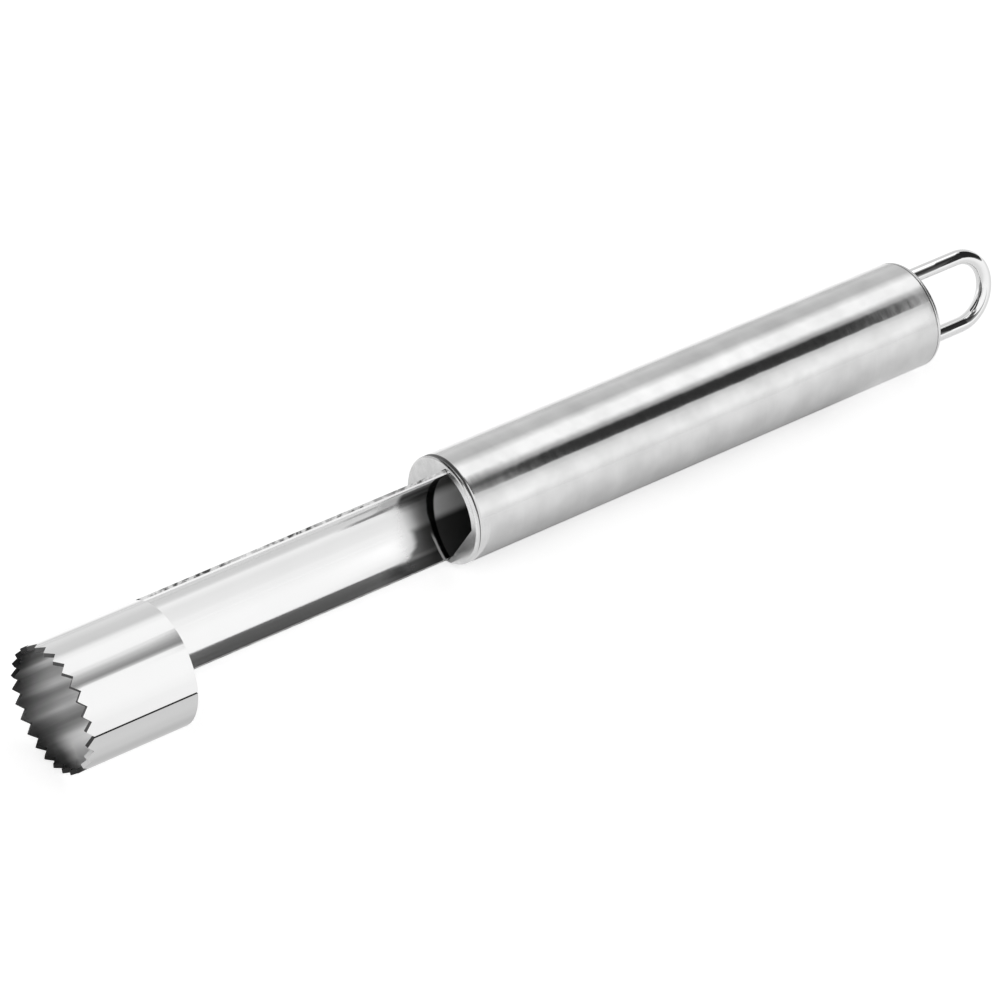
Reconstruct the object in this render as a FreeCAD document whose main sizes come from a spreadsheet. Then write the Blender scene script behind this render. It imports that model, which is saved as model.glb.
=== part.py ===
import FreeCAD, Part
import math
import os

import Sketcher
from FreeCAD import Placement, Rotation, Vector

# An all-steel fruit corer, lying at rest.
# The cutting head and the long neck are one strip of sheet: its wide end is rolled into
# a ring with a butt seam and teeth, its narrow end runs on as a trough into the handle.
# The handle is a tube with a pressed cap at each end and a wire loop for hanging.
# Row frame: +X from the teeth to the loop, +Z up, the open side of the trough towards -Y,
# the origin on the floor under the middle of the part. Millimetres.

# Driving dimensions

SIZES = [
    ("handle_diameter", "20.0", "outside of the handle tube"),
    ("handle_length", "105.4", "handle tube, end to end"),
    ("tube_wall", "0.7", "wall of the handle tube"),
    ("ring_diameter", "22.4", "outside of the cutting ring"),
    ("ring_length", "21.7", "tooth tips to the ring's rear rim"),
    ("sheet_thickness", "0.8", "sheet of the blade"),
    ("ring_offset", "8.1", "axis of the ring below the axis of the handle, to the open side"),
    ("neck_length", "65.7", "ring's rear rim to the front end of the handle tube"),
    ("tail_length", "14.0", "blade inside the handle tube"),
    ("blade_clearance", "0.1", "between the blade's edges and the bore of the tube"),
    ("seam_gap", "0.15", "between the two butted ends of the ring"),
    ("tooth_count", "26", "teeth round the ring"),
    ("tooth_depth", "1.3", "tip to root of a tooth"),
    ("tooth_land", "0.12", "flat left on a tooth's tip, at the outside of the ring"),
    ("shoulder_radius", "1.5", "inside corner between the ring and the trough"),
    ("cap_thickness", "0.8", "flange of the front cap"),
    ("cap_edge_radius", "0.6", "rounded outer edge of the front cap"),
    ("lip_depth", "3.0", "lip of either cap inside the tube"),
    ("lip_wall", "0.6", "wall of that lip"),
    ("lip_clearance", "0.1", "between a cap's lip and the bore of the tube"),
    ("mouth_diameter", "16.8", "round side of the opening in the front cap"),
    ("mouth_corner", "9.75", "degrees of that round side left between its straight part and the slot"),
    ("slot_clearance", "0.15", "between the blade's faces and the slot in the front cap"),
    ("end_thickness", "0.9", "flange of the rear cap"),
    ("end_edge_bevel", "0.5", "bevelled outer edge of the rear cap"),
    ("wire_diameter", "2.8", "wire of the hanging loop"),
    ("wire_clearance", "0.05", "between the wire and its hole in the rear cap"),
    ("wire_tail", "5.0", "wire inside the handle, from the tube's rear end"),
    ("loop_width", "13.3", "between the centres of the loop's two legs"),
    ("loop_reach", "20.3", "tube's rear end to the wire's centre at the top of the bow"),
    ("loop_turn", "8.3", "degrees that the loop and its holes are turned from the blade's middle"),
]

doc = FreeCAD.newDocument("fruit_corer")
sheet = doc.addObject("Spreadsheet::Sheet", "Sizes")
for row, (alias, value, meaning) in enumerate(SIZES, start=1):
    sheet.set(f"A{row}", meaning)
    sheet.set(f"B{row}", value)
    sheet.setAlias(f"B{row}", alias)
doc.recompute()


def size(alias):
    """One driving dimension, as the sheet holds it."""
    return float(sheet.get(alias))


# Expressions that more than one piece uses

BORE_RADIUS = "(Sizes.handle_diameter / 2 - Sizes.tube_wall)"
RING_RADIUS = "(Sizes.ring_diameter / 2)"
RING_INNER = "(Sizes.ring_diameter / 2 - Sizes.sheet_thickness)"
BLADE_REACH = f"({BORE_RADIUS} - Sizes.blade_clearance)"
OVERRUN = 1.0


def end_height(radius, reach):
    """Height, as an expression, above the ring's axis of the ends of an arc about that axis
    whose ends lie at a distance reach from the handle's axis."""
    return f"((Sizes.ring_offset ^ 2 + {radius} ^ 2 - {reach} ^ 2) / (2 * Sizes.ring_offset))"


def half_angle(radius, reach):
    """Half the angle of the same arc, as a number, to draw a sketch near its solution."""
    offset = size("ring_offset")
    return math.acos((offset ** 2 + radius ** 2 - reach ** 2) / (2 * offset * radius))


# Sketch helpers

def new_body(label):
    body = doc.addObject("PartDesign::Body", label)
    body.Label = label
    return body


def origin_feature(body, role):
    return next(part for part in body.Origin.OriginFeatures if part.Role == role)


def new_sketch(body, name, role, offset=None):
    """A sketch on one of the body's origin planes, moved along its normal by an expression."""
    sketch = body.newObject("Sketcher::SketchObject", name)
    sketch.AttachmentSupport = [(origin_feature(body, role), "")]
    sketch.MapMode = "FlatFace"
    if offset:
        sketch.setExpression(".AttachmentOffset.Base.z", offset)
    return sketch


def drive(sketch, name, expression, kind, first, first_end, second, second_end):
    """Dimension a sketch between two points as they are drawn, and bind that to the sheet."""
    step = sketch.getPoint(second, second_end) - sketch.getPoint(first, first_end)
    drawn = step.x if kind == "DistanceX" else step.y
    where = (first, first_end, second, second_end)
    index = sketch.addConstraint(Sketcher.Constraint(kind, *where, drawn))
    sketch.renameConstraint(index, name)
    sketch.setExpression(f"Constraints.{name}", expression)


def drawn_circle(sketch, name, radius, expression, centre=(0, 0)):
    """A circle of a driven radius, centred on the sketch's origin or left to be placed."""
    edge = Part.Circle(Vector(*centre, 0), Vector(0, 0, 1), radius)
    index = sketch.addGeometry(edge)
    if centre == (0, 0):
        sketch.addConstraint(Sketcher.Constraint("Coincident", index, 3, -1, 1))
    constraint = sketch.addConstraint(Sketcher.Constraint("Radius", index, radius))
    sketch.renameConstraint(constraint, name)
    sketch.setExpression(f"Constraints.{name}", expression)
    return index


def drawn_arc(sketch, name, centre, radius, start, end, expression):
    """An arc from one angle to another, of a driven radius."""
    edge = Part.ArcOfCircle(Part.Circle(Vector(*centre, 0), Vector(0, 0, 1), radius), start, end)
    index = sketch.addGeometry(edge)
    constraint = sketch.addConstraint(Sketcher.Constraint("Radius", index, radius))
    sketch.renameConstraint(constraint, name)
    sketch.setExpression(f"Constraints.{name}", expression)
    return index


def joined_line(sketch, first, first_end, second, second_end):
    """A straight line between one end of each of two arcs."""
    start = sketch.getPoint(first, first_end)
    end = sketch.getPoint(second, second_end)
    index = sketch.addGeometry(Part.LineSegment(start, end))
    sketch.addConstraint(Sketcher.Constraint("Coincident", first, first_end, index, 1))
    sketch.addConstraint(Sketcher.Constraint("Coincident", second, second_end, index, 2))
    return index


def pad(body, name, sketch, length, backwards=False):
    feature = body.newObject("PartDesign::Pad", name)
    feature.Profile = sketch
    feature.Reversed = backwards
    feature.setExpression("Length", length)
    return feature


def pocket_both_ways(body, name, sketch, length):
    feature = body.newObject("PartDesign::Pocket", name)
    feature.Profile = sketch
    feature.SideType = "Symmetric"
    feature.setExpression("Length", f"2 * ({length})")
    return feature


def edges_where(feature, test):
    """Names of the edges of a feature whose vertices all pass a test."""
    found = []
    for number, edge in enumerate(feature.Shape.Edges, start=1):
        if all(test(vertex.Point) for vertex in edge.Vertexes):
            found.append(f"Edge{number}")
    return found


def fillet(body, name, feature, edges, radius):
    rounded = body.newObject("PartDesign::Fillet", name)
    rounded.Base = (feature, edges)
    rounded.setExpression("Radius", radius)
    return rounded


def chamfer(body, name, feature, edges, width):
    bevelled = body.newObject("PartDesign::Chamfer", name)
    bevelled.Base = (feature, edges)
    bevelled.setExpression("Size", width)
    return bevelled


def near(value, target):
    return abs(value - target) < 1e-4


# Blade: a toothed ring and a trough, rolled from one strip

def make_blade():
    body = new_body("coring_blade")
    outer = size("ring_diameter") / 2
    inner = outer - size("sheet_thickness")

    # The ring, open by the seam on the side that faces away from the trough
    ring = new_sketch(body, "RingSection", "YZ_Plane")
    gap = math.asin(size("seam_gap") / (2 * outer))
    out = drawn_arc(ring, "outer_radius", (0, 0), outer, gap - math.pi, math.pi - gap, RING_RADIUS)
    inn = drawn_arc(ring, "inner_radius", (0, 0), inner, gap - math.pi, math.pi - gap, RING_INNER)
    for edge in (out, inn):
        ring.addConstraint(Sketcher.Constraint("Coincident", edge, 3, -1, 1))
    for end in (1, 2):
        line = joined_line(ring, out, end, inn, end)
        ring.addConstraint(Sketcher.Constraint("Horizontal", line))
    ring.addConstraint(Sketcher.Constraint("Symmetric", out, 1, out, 2, -1))
    drive(ring, "seam_gap", "Sizes.seam_gap", "DistanceY", out, 1, out, 2)
    pad(body, "Ring", ring, "Sizes.ring_length", backwards=True)

    # The trough goes on from the ring's far wall into the handle
    reach = size("handle_diameter") / 2 - size("tube_wall") - size("blade_clearance")
    half = half_angle(outer, reach)
    band = new_sketch(body, "TroughSection", "YZ_Plane")
    out = drawn_arc(band, "outer_radius", (0, 0), outer, -half, half, RING_RADIUS)
    inn = drawn_arc(band, "inner_radius", (0, 0), inner, -half, half, RING_INNER)
    for edge in (out, inn):
        band.addConstraint(Sketcher.Constraint("Coincident", edge, 3, -1, 1))
    for end in (1, 2):
        line = joined_line(band, out, end, inn, end)
        band.addConstraint(Sketcher.Constraint("PointOnObject", -1, 1, line))
    band.addConstraint(Sketcher.Constraint("Symmetric", out, 1, out, 2, -1))
    drive(band, "end_height", end_height(RING_RADIUS, BLADE_REACH), "DistanceX", out, 3, out, 2)
    trough = pad(body, "Trough", band, "Sizes.neck_length + Sizes.tail_length")
    doc.recompute()

    # The strip is cut with a round inside corner where its wide end becomes the neck
    side = outer * math.sin(half)
    corners = edges_where(trough, lambda point: near(point.x, 0) and point.y > 0
                          and abs(point.z) > side * inner / outer - 0.01
                          and abs(point.z) < side + 0.01)
    fillet(body, "Shoulders", trough, corners, "Sizes.shoulder_radius")

    # One notch between two teeth, tapering towards the ring's axis, with its root at the seam
    slope = "(tan(180 / Sizes.tooth_count) - Sizes.tooth_land / Sizes.ring_diameter)"
    stretch = f"(1 + {OVERRUN} / Sizes.tooth_depth)"
    radii = (("NotchInside", f"({RING_INNER} - {OVERRUN})", inner - OVERRUN),
             ("NotchOutside", f"({RING_RADIUS} + {OVERRUN})", outer + OVERRUN))
    sections = []
    for name, radius, radius_now in radii:
        section = new_sketch(body, name, "XZ_Plane", offset=radius)
        root = Vector(size("tooth_depth") - size("ring_length"), 0, 0)
        mouth = -size("ring_length") - OVERRUN
        half = radius_now * math.tan(math.pi / size("tooth_count"))
        low = Vector(mouth, -half, 0)
        high = Vector(mouth, half, 0)
        for start, end in ((root, high), (high, low), (low, root)):
            section.addGeometry(Part.LineSegment(start, end))
        for first, second in ((0, 1), (1, 2), (2, 0)):
            section.addConstraint(Sketcher.Constraint("Coincident", first, 2, second, 1))
        section.addConstraint(Sketcher.Constraint("PointOnObject", 0, 1, -1))
        section.addConstraint(Sketcher.Constraint("Symmetric", 1, 1, 1, 2, -1))
        drive(section, "root_place", "Sizes.ring_length - Sizes.tooth_depth", "DistanceX", 0, 1, -1, 1)
        drive(section, "mouth_place", f"Sizes.ring_length + {OVERRUN}", "DistanceX", 1, 1, -1, 1)
        drive(section, "mouth_width", f"2 * {radius} * {slope} * {stretch}", "DistanceY", 1, 2, 1, 1)
        sections.append(section)
    notch = body.newObject("PartDesign::SubtractiveLoft", "Notch")
    notch.Profile = sections[0]
    notch.Sections = [sections[1]]
    notch.Ruled = True
    teeth = body.newObject("PartDesign::PolarPattern", "Teeth")
    teeth.Originals = [notch]
    teeth.Axis = (origin_feature(body, "X_Axis"), [""])
    teeth.Angle = 360
    teeth.setExpression("Occurrences", "Sizes.tooth_count")
    body.Tip = teeth
    return body


# Handle tube

def make_tube():
    body = new_body("handle_tube")
    section = new_sketch(body, "TubeSection", "YZ_Plane")
    drawn_circle(section, "outer_radius", size("handle_diameter") / 2, "Sizes.handle_diameter / 2")
    drawn_circle(section, "bore_radius", size("handle_diameter") / 2 - size("tube_wall"), BORE_RADIUS)
    pad(body, "Tube", section, "Sizes.handle_length")
    return body


# Caps: a flange of the tube's diameter, and a lip that locates it in the bore

def pressed_cap(label, thickness, soften, softness, outwards):
    """The blank of a cap, seated on an end of the tube at its own origin. Its flange
    stands out along outwards, which is -1 for the front and 1 for the rear, and its
    outer edge is softened by a fillet or a chamfer."""
    body = new_body(label)
    disc = new_sketch(body, "FlangeOutline", "YZ_Plane")
    outer = size("handle_diameter") / 2
    bore = outer - size("tube_wall")
    drawn_circle(disc, "flange_radius", outer, "Sizes.handle_diameter / 2")
    flange = pad(body, "Flange", disc, f"Sizes.{thickness}", backwards=outwards < 0)
    doc.recompute()
    face = outwards * size(thickness)
    rim = edges_where(flange, lambda point: near(point.x, face))
    soften(body, "FlangeEdge", flange, rim, f"Sizes.{softness}")
    ring = new_sketch(body, "LipSection", "YZ_Plane")
    lip_outer = f"({BORE_RADIUS} - Sizes.lip_clearance)"
    drawn_circle(ring, "lip_outer", bore - size("lip_clearance"), lip_outer)
    drawn_circle(ring, "lip_inner", bore - size("lip_clearance") - size("lip_wall"),
                 f"{lip_outer} - Sizes.lip_wall")
    pad(body, "Lip", ring, "Sizes.lip_depth", backwards=outwards > 0)
    return body


def make_front_cap():
    body = pressed_cap("front_cap", "cap_thickness", fillet, "cap_edge_radius", -1)
    depth = "Sizes.cap_thickness + Sizes.lip_depth"
    outer = size("ring_diameter") / 2 + size("slot_clearance")
    inner = outer - size("sheet_thickness") - 2 * size("slot_clearance")
    bore = size("handle_diameter") / 2 - size("tube_wall")
    offset = size("ring_offset")

    # The slot that the blade runs through, about the ring's axis
    margin = math.asin(2 * size("slot_clearance") / size("ring_diameter"))
    half = half_angle(size("ring_diameter") / 2, bore - size("blade_clearance")) + margin
    slot = new_sketch(body, "BladeSlot", "YZ_Plane")
    slot_outer = f"({RING_RADIUS} + Sizes.slot_clearance)"
    slot_inner = f"({RING_INNER} - Sizes.slot_clearance)"
    blade_angle = f"acos({end_height(RING_RADIUS, BLADE_REACH)} / {RING_RADIUS})"
    slot_angle = f"({blade_angle} + asin(Sizes.slot_clearance / {RING_RADIUS}))"
    out = drawn_arc(slot, "outer_radius", (-offset, 0), outer, -half, half, slot_outer)
    inn = drawn_arc(slot, "inner_radius", (-offset, 0), inner, -half, half, slot_inner)
    slot.addConstraint(Sketcher.Constraint("Coincident", out, 3, inn, 3))
    slot.addConstraint(Sketcher.Constraint("PointOnObject", out, 3, -1))
    drive(slot, "ring_offset", "Sizes.ring_offset", "DistanceX", out, 3, -1, 1)
    for end in (1, 2):
        line = joined_line(slot, out, end, inn, end)
        slot.addConstraint(Sketcher.Constraint("PointOnObject", out, 3, line))
    slot.addConstraint(Sketcher.Constraint("Symmetric", out, 1, out, 2, -1))
    drive(slot, "end_height", f"{slot_outer} * cos({slot_angle})", "DistanceX", out, 3, out, 2)
    pocket_both_ways(body, "SlotCut", slot, depth)

    # The mouth between the blade's hollow and the cap's rim, which lets the juice drain. It is
    # round from the upper end of the slot to the middle plane, then straight, then round again
    middle = (outer + inner) / 2
    radius = size("mouth_diameter") / 2
    corner = math.acos((middle ** 2 - radius ** 2 - offset ** 2) / (2 * radius * offset))
    flat_end = corner + math.radians(size("mouth_corner"))
    back = math.asin(radius * math.sin(corner) / middle)
    mouth = new_sketch(body, "MouthOutline", "YZ_Plane")
    mouth_radius = "(Sizes.mouth_diameter / 2)"
    back_radius = f"({RING_RADIUS} - Sizes.sheet_thickness / 2)"
    corner_angle = (f"acos(({back_radius} ^ 2 - {mouth_radius} ^ 2 - Sizes.ring_offset ^ 2)"
                    f" / (2 * {mouth_radius} * Sizes.ring_offset))")
    high = drawn_arc(mouth, "high_radius", (0, 0), radius, corner, math.pi, mouth_radius)
    low = drawn_arc(mouth, "low_radius", (0, 0), radius, 2 * math.pi - flat_end, 2 * math.pi - corner,
                    mouth_radius)
    inside = drawn_arc(mouth, "back_radius", (-offset, 0), middle, -back, back, back_radius)
    for edge in (high, low):
        mouth.addConstraint(Sketcher.Constraint("Coincident", edge, 3, -1, 1))
    mouth.addConstraint(Sketcher.Constraint("PointOnObject", high, 2, -1))
    mouth.addConstraint(Sketcher.Constraint("PointOnObject", inside, 3, -1))
    joined_line(mouth, high, 2, low, 1)
    drive(mouth, "ring_offset", "Sizes.ring_offset", "DistanceX", inside, 3, -1, 1)
    drive(mouth, "flat_end", f"-{mouth_radius} * cos({corner_angle} + Sizes.mouth_corner * 1 deg)",
          "DistanceX", low, 1, -1, 1)
    mouth.addConstraint(Sketcher.Constraint("Coincident", high, 1, inside, 2))
    mouth.addConstraint(Sketcher.Constraint("Coincident", low, 2, inside, 1))
    pocket_both_ways(body, "MouthCut", mouth, depth)
    return body


def make_rear_cap():
    body = pressed_cap("rear_cap", "end_thickness", chamfer, "end_edge_bevel", 1)
    holes = new_sketch(body, "WireHoles", "YZ_Plane")
    radius = size("wire_diameter") / 2 + size("wire_clearance")
    half = size("loop_width") / 2
    for name, side in (("low", -1), ("high", 1)):
        index = drawn_circle(holes, f"{name}_hole", radius,
                             "Sizes.wire_diameter / 2 + Sizes.wire_clearance", (0, side * half))
        holes.addConstraint(Sketcher.Constraint("PointOnObject", index, 3, -2))
    drive(holes, "low_place", "Sizes.loop_width / 2", "DistanceY", 0, 3, -1, 1)
    drive(holes, "high_place", "Sizes.loop_width / 2", "DistanceY", -1, 1, 1, 3)
    pocket_both_ways(body, "WireHoleCuts", holes, "Sizes.end_thickness + Sizes.lip_depth")
    return body


# Hanging loop: one wire bent to a bow, with both legs through the rear cap

def make_loop():
    body = new_body("hanging_loop")
    half = size("loop_width") / 2
    tail = size("wire_tail")
    bend = size("loop_reach") - half
    path = new_sketch(body, "WirePath", "XZ_Plane")
    path.addGeometry(Part.LineSegment(Vector(-tail, -half, 0), Vector(bend, -half, 0)))
    bow = drawn_arc(path, "bow_radius", (bend, 0), half, -math.pi / 2, math.pi / 2,
                    "Sizes.loop_width / 2")
    path.addGeometry(Part.LineSegment(Vector(bend, half, 0), Vector(-tail, half, 0)))
    path.addConstraint(Sketcher.Constraint("Tangent", 0, 2, bow, 1))
    path.addConstraint(Sketcher.Constraint("Tangent", bow, 2, 2, 1))
    path.addConstraint(Sketcher.Constraint("Horizontal", 0))
    path.addConstraint(Sketcher.Constraint("Horizontal", 2))
    path.addConstraint(Sketcher.Constraint("PointOnObject", bow, 3, -1))
    path.addConstraint(Sketcher.Constraint("Vertical", 0, 1, 2, 2))
    drive(path, "bow_place", "Sizes.loop_reach - Sizes.loop_width / 2", "DistanceX", -1, 1, bow, 3)
    drive(path, "wire_tail", "Sizes.wire_tail", "DistanceX", 0, 1, -1, 1)
    section = new_sketch(body, "WireSection", "YZ_Plane", offset="-Sizes.wire_tail")
    index = drawn_circle(section, "wire_radius", size("wire_diameter") / 2,
                         "Sizes.wire_diameter / 2", (0, -half))
    section.addConstraint(Sketcher.Constraint("PointOnObject", index, 3, -2))
    drive(section, "leg_place", "Sizes.loop_width / 2", "DistanceY", index, 3, -1, 1)
    wire = body.newObject("PartDesign::AdditivePipe", "Wire")
    wire.Profile = section
    wire.Spine = (path, ["Edge1", "Edge2", "Edge3"])
    return body


# Places of the pieces: the corer lies with both the handle and the ring on the floor

def resting_frame():
    """Where the handle's axis crosses the tube's front end, with the open side turned up
    by the small angle at which the wider ring also touches the floor."""
    handle_radius = size("handle_diameter") / 2
    ring_radius = size("ring_diameter") / 2
    offset = size("ring_offset")
    lean = math.asin((ring_radius - handle_radius) / offset)
    front = -size("neck_length") - size("ring_length")
    rear = size("handle_length") + size("loop_reach") + size("wire_diameter") / 2
    across = (offset * math.cos(lean) + ring_radius - handle_radius) / 2
    base = Vector(-(front + rear) / 2, across, handle_radius)
    return Placement(base, Rotation(Vector(1, 0, 0), -math.degrees(lean)))


rest = resting_frame()
blade = make_blade()
tube = make_tube()
front_cap = make_front_cap()
rear_cap = make_rear_cap()
loop = make_loop()
turned = Rotation(Vector(1, 0, 0), -size("loop_turn"))
tube.Placement = rest
front_cap.Placement = rest
blade.Placement = rest * Placement(Vector(-size("neck_length"), -size("ring_offset"), 0), Rotation())
for piece in (rear_cap, loop):
    piece.Placement = rest * Placement(Vector(size("handle_length"), 0, 0), turned)
doc.recompute()

# Nothing is written unless every object is sound

pieces = (blade, tube, front_cap, rear_cap, loop)
faulty = [item.Name for item in doc.Objects if {"Invalid", "Error"} & set(item.State)]
if faulty:
    raise RuntimeError(f"failed objects: {faulty}")
for piece in pieces:
    shape = piece.Shape
    if shape.isNull() or not shape.isValid() or len(shape.Solids) != 1:
        raise RuntimeError(f"{piece.Label} isn't one valid solid")

os.makedirs("parts", exist_ok=True)
for piece in pieces:
    shape = piece.Shape
    shape.exportStep(f"parts/{piece.Label}.step")
    box = shape.BoundBox
    print(f"{piece.Label}: {shape.Volume:.1f} mm3, {len(shape.Faces)} faces, "
          f"x {box.XMin:.2f} to {box.XMax:.2f}, y {box.YMin:.2f} to {box.YMax:.2f}, "
          f"z {box.ZMin:.2f} to {box.ZMax:.2f}")
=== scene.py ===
# %% [markdown]
# A steel fruit corer, dressed round its measured solids.
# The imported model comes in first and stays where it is. Every piece below is built on the
# same axes, so nothing has to be fitted by eye: +X runs from the teeth to the hanging loop,
# +Z is up, and the open side of the trough looks towards -Y. Lengths are in metres.

# %% The measured frame
import math

import bmesh
import bpy
from mathutils import Matrix, Vector


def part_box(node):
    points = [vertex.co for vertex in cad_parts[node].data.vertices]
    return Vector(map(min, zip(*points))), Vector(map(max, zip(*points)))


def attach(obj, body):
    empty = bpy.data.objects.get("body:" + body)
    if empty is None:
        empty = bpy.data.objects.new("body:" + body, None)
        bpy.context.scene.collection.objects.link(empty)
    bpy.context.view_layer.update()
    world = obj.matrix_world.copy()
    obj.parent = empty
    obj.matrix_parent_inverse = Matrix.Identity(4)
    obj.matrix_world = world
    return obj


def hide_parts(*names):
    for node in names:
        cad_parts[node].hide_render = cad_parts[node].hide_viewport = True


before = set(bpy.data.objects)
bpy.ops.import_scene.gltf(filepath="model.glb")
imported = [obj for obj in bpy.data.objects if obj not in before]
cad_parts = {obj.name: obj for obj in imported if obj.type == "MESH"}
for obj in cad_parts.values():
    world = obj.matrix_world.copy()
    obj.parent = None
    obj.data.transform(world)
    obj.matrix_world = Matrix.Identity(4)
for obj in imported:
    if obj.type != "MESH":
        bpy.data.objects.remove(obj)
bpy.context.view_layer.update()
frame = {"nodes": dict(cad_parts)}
MM = 0.001
print("solids:", ", ".join(frame["nodes"]))

# %% [markdown]
# The corer lies on its handle and on its ring, and the ring is a little wider, so the tool is
# rolled by a few degrees. Two axes say where everything is: the handle's and the ring's.
# Both are read from the boxes of the solids, so a change of size in the CAD moves them too.

# %% The two axes of the tool
tube_low, tube_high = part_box("handle_tube")
blade_low, blade_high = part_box("coring_blade")
loop_low, loop_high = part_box("hanging_loop")

handle_radius = (tube_high.z - tube_low.z) / 2
ring_radius = (blade_high.z - blade_low.z) / 2
handle_axis = Vector((0, (tube_low.y + tube_high.y) / 2, handle_radius))
ring_axis = Vector((0, blade_low.y + ring_radius, ring_radius))
offset = (handle_axis - ring_axis).length
lean = math.atan2(ring_axis.z - handle_axis.z, handle_axis.y - ring_axis.y)
print(f"handle {2000 * handle_radius:.1f} mm, ring {2000 * ring_radius:.1f} mm, "
      f"{1000 * offset:.2f} mm apart, rolled {math.degrees(lean):.1f} degrees")

# %% [markdown]
# Pieces are easier to draw in the tool's own frame: x along the handle from the front end of
# the tube, y away from the trough's open side, z across. One matrix lays that frame down.

# %% The tool's own frame
tool_to_row = (Matrix.Translation((tube_low.x, handle_axis.y, handle_axis.z))
               @ Matrix.Rotation(-lean, 4, "X"))
print("front end of the tube at", [round(1000 * c, 2) for c in tool_to_row.translation])

# %% [markdown]
# A piece keeps its object at the origin, and its place goes into its mesh. That is how the
# solids are kept too, so a pattern that reads the object's coordinates stays where it is.

# %% Lay a finished piece down
def finish_piece(name, mesh, node, place=tool_to_row):
    """Lays a piece down with its place in its mesh, and hides the solid that it stands for."""
    piece = bpy.data.objects.new(name, mesh)
    bpy.context.scene.collection.objects.link(piece)
    mesh.transform(place)
    mesh.name = name
    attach(piece, "root")
    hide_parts(node)
    print(f"{name}: {len(piece.data.polygons)} faces")
    return piece


# %% [markdown]
# The camera stands to the front and the left of the tool, almost a metre away, and looks
# down on it by about 38 degrees through a long lens, so the tool hardly tapers.

# %% Camera
camera_place = (-0.4645, -0.5231, 0.5496)
lens_length = 182.96
camera = bpy.data.objects.new("camera", bpy.data.cameras.new("camera"))
bpy.context.scene.collection.objects.link(camera)
right, up, forward = (Vector(v).normalized() for v in (
    (0.7872, -0.6131, 0.0665), (0.3367, 0.5176, 0.7867), (0.5168, 0.5969, -0.6139)))
turn = Matrix((right, up, -forward)).transposed().to_4x4()
camera.matrix_world = Matrix.Translation(camera_place) @ turn
camera.data.lens = lens_length
camera.data.sensor_width = 36
camera.data.clip_start = 0.05
bpy.context.scene.camera = camera
print(f"camera: {lens_length} mm lens, {Vector(camera_place).length:.2f} m from the tool")

# %% [markdown]
# Bright metal has hardly a colour of its own: it looks like what stands round it. So the room
# is built with care. It is white nearly all round; a wide soft light stands in front and one
# above the back; a narrow dark strip hangs between them, and it draws the black line along
# the handle. The panels are seen only by reflections, never by the camera. Each is a mesh that
# glows by a ramp: that gives a soft edge to every reflection, which a lamp could not. They stand
# where the photograph's view needs them, so other views show other reflections.

# %% Panels that the metal reflects
def ramp_node(nodes, levels):
    """A ramp that passes softly through the given (place, level) pairs."""
    ramp = nodes.new("ShaderNodeValToRGB")
    ramp.color_ramp.interpolation = "EASE"
    marks = ramp.color_ramp.elements
    while len(marks) < len(levels):
        marks.new(0.5)
    for mark, (place, level) in zip(marks, levels):
        mark.position = place
        mark.color = (level, level, level, 1)
    return ramp


def panel(name, rows, levels):
    """A panel through rows of two points each; its glow runs from the first row to the last."""
    mesh = bpy.data.meshes.new(name)
    faces = [(2 * k, 2 * k + 1, 2 * k + 3, 2 * k + 2) for k in range(len(rows) - 1)]
    mesh.from_pydata([point for row in rows for point in row], [], faces)
    layer = mesh.uv_layers.new(name="across")
    for loop in mesh.loops:
        layer.data[loop.index].uv = (loop.vertex_index % 2, loop.vertex_index // 2 / (len(rows) - 1))
    thing = bpy.data.objects.new(name, mesh)
    bpy.context.scene.collection.objects.link(thing)
    material = bpy.data.materials.new(name)
    material.use_nodes = True
    nodes, links = material.node_tree.nodes, material.node_tree.links
    nodes.clear()
    place = nodes.new("ShaderNodeUVMap")
    place.uv_map = "across"
    split = nodes.new("ShaderNodeSeparateXYZ")
    links.new(place.outputs[0], split.inputs[0])
    ramp = ramp_node(nodes, levels)
    links.new(split.outputs["Y"], ramp.inputs[0])
    glow = nodes.new("ShaderNodeEmission")
    glow.inputs["Strength"].default_value = 1
    links.new(ramp.outputs[0], glow.inputs["Color"])
    end = nodes.new("ShaderNodeOutputMaterial")
    links.new(glow.outputs[0], end.inputs[0])
    mesh.materials.append(material)
    thing.visible_camera = False
    thing.visible_shadow = False
    thing.visible_diffuse = False


# %% [markdown]
# Most panels are bent round the handle's axis, so that every part of the tube sees them at the
# same distance, and their place is simply an angle. The far ones make the bright room. Where a
# panel stands along x decides which part of the tool shows it, so blade and handle get their own.

# %% Panels bent round the handle
panel_step = 4


def strip(name, x_range, distance, levels):
    """A panel bent round the handle's axis. levels are pairs of an elevation, in degrees above
    the side the trough opens to, and the glow there."""
    low, high = levels[0][0], levels[-1][0]
    steps = max(1, round((high - low) / panel_step))
    rows = []
    for k in range(steps + 1):
        angle = math.radians(low + (high - low) * k / steps)
        away = Vector((0, -math.cos(angle), math.sin(angle))) * distance
        rows.append([handle_axis + away + Vector((x, 0, 0)) for x in x_range])
    panel(name, rows, [((at - low) / (high - low), level) for at, level in levels])


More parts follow.
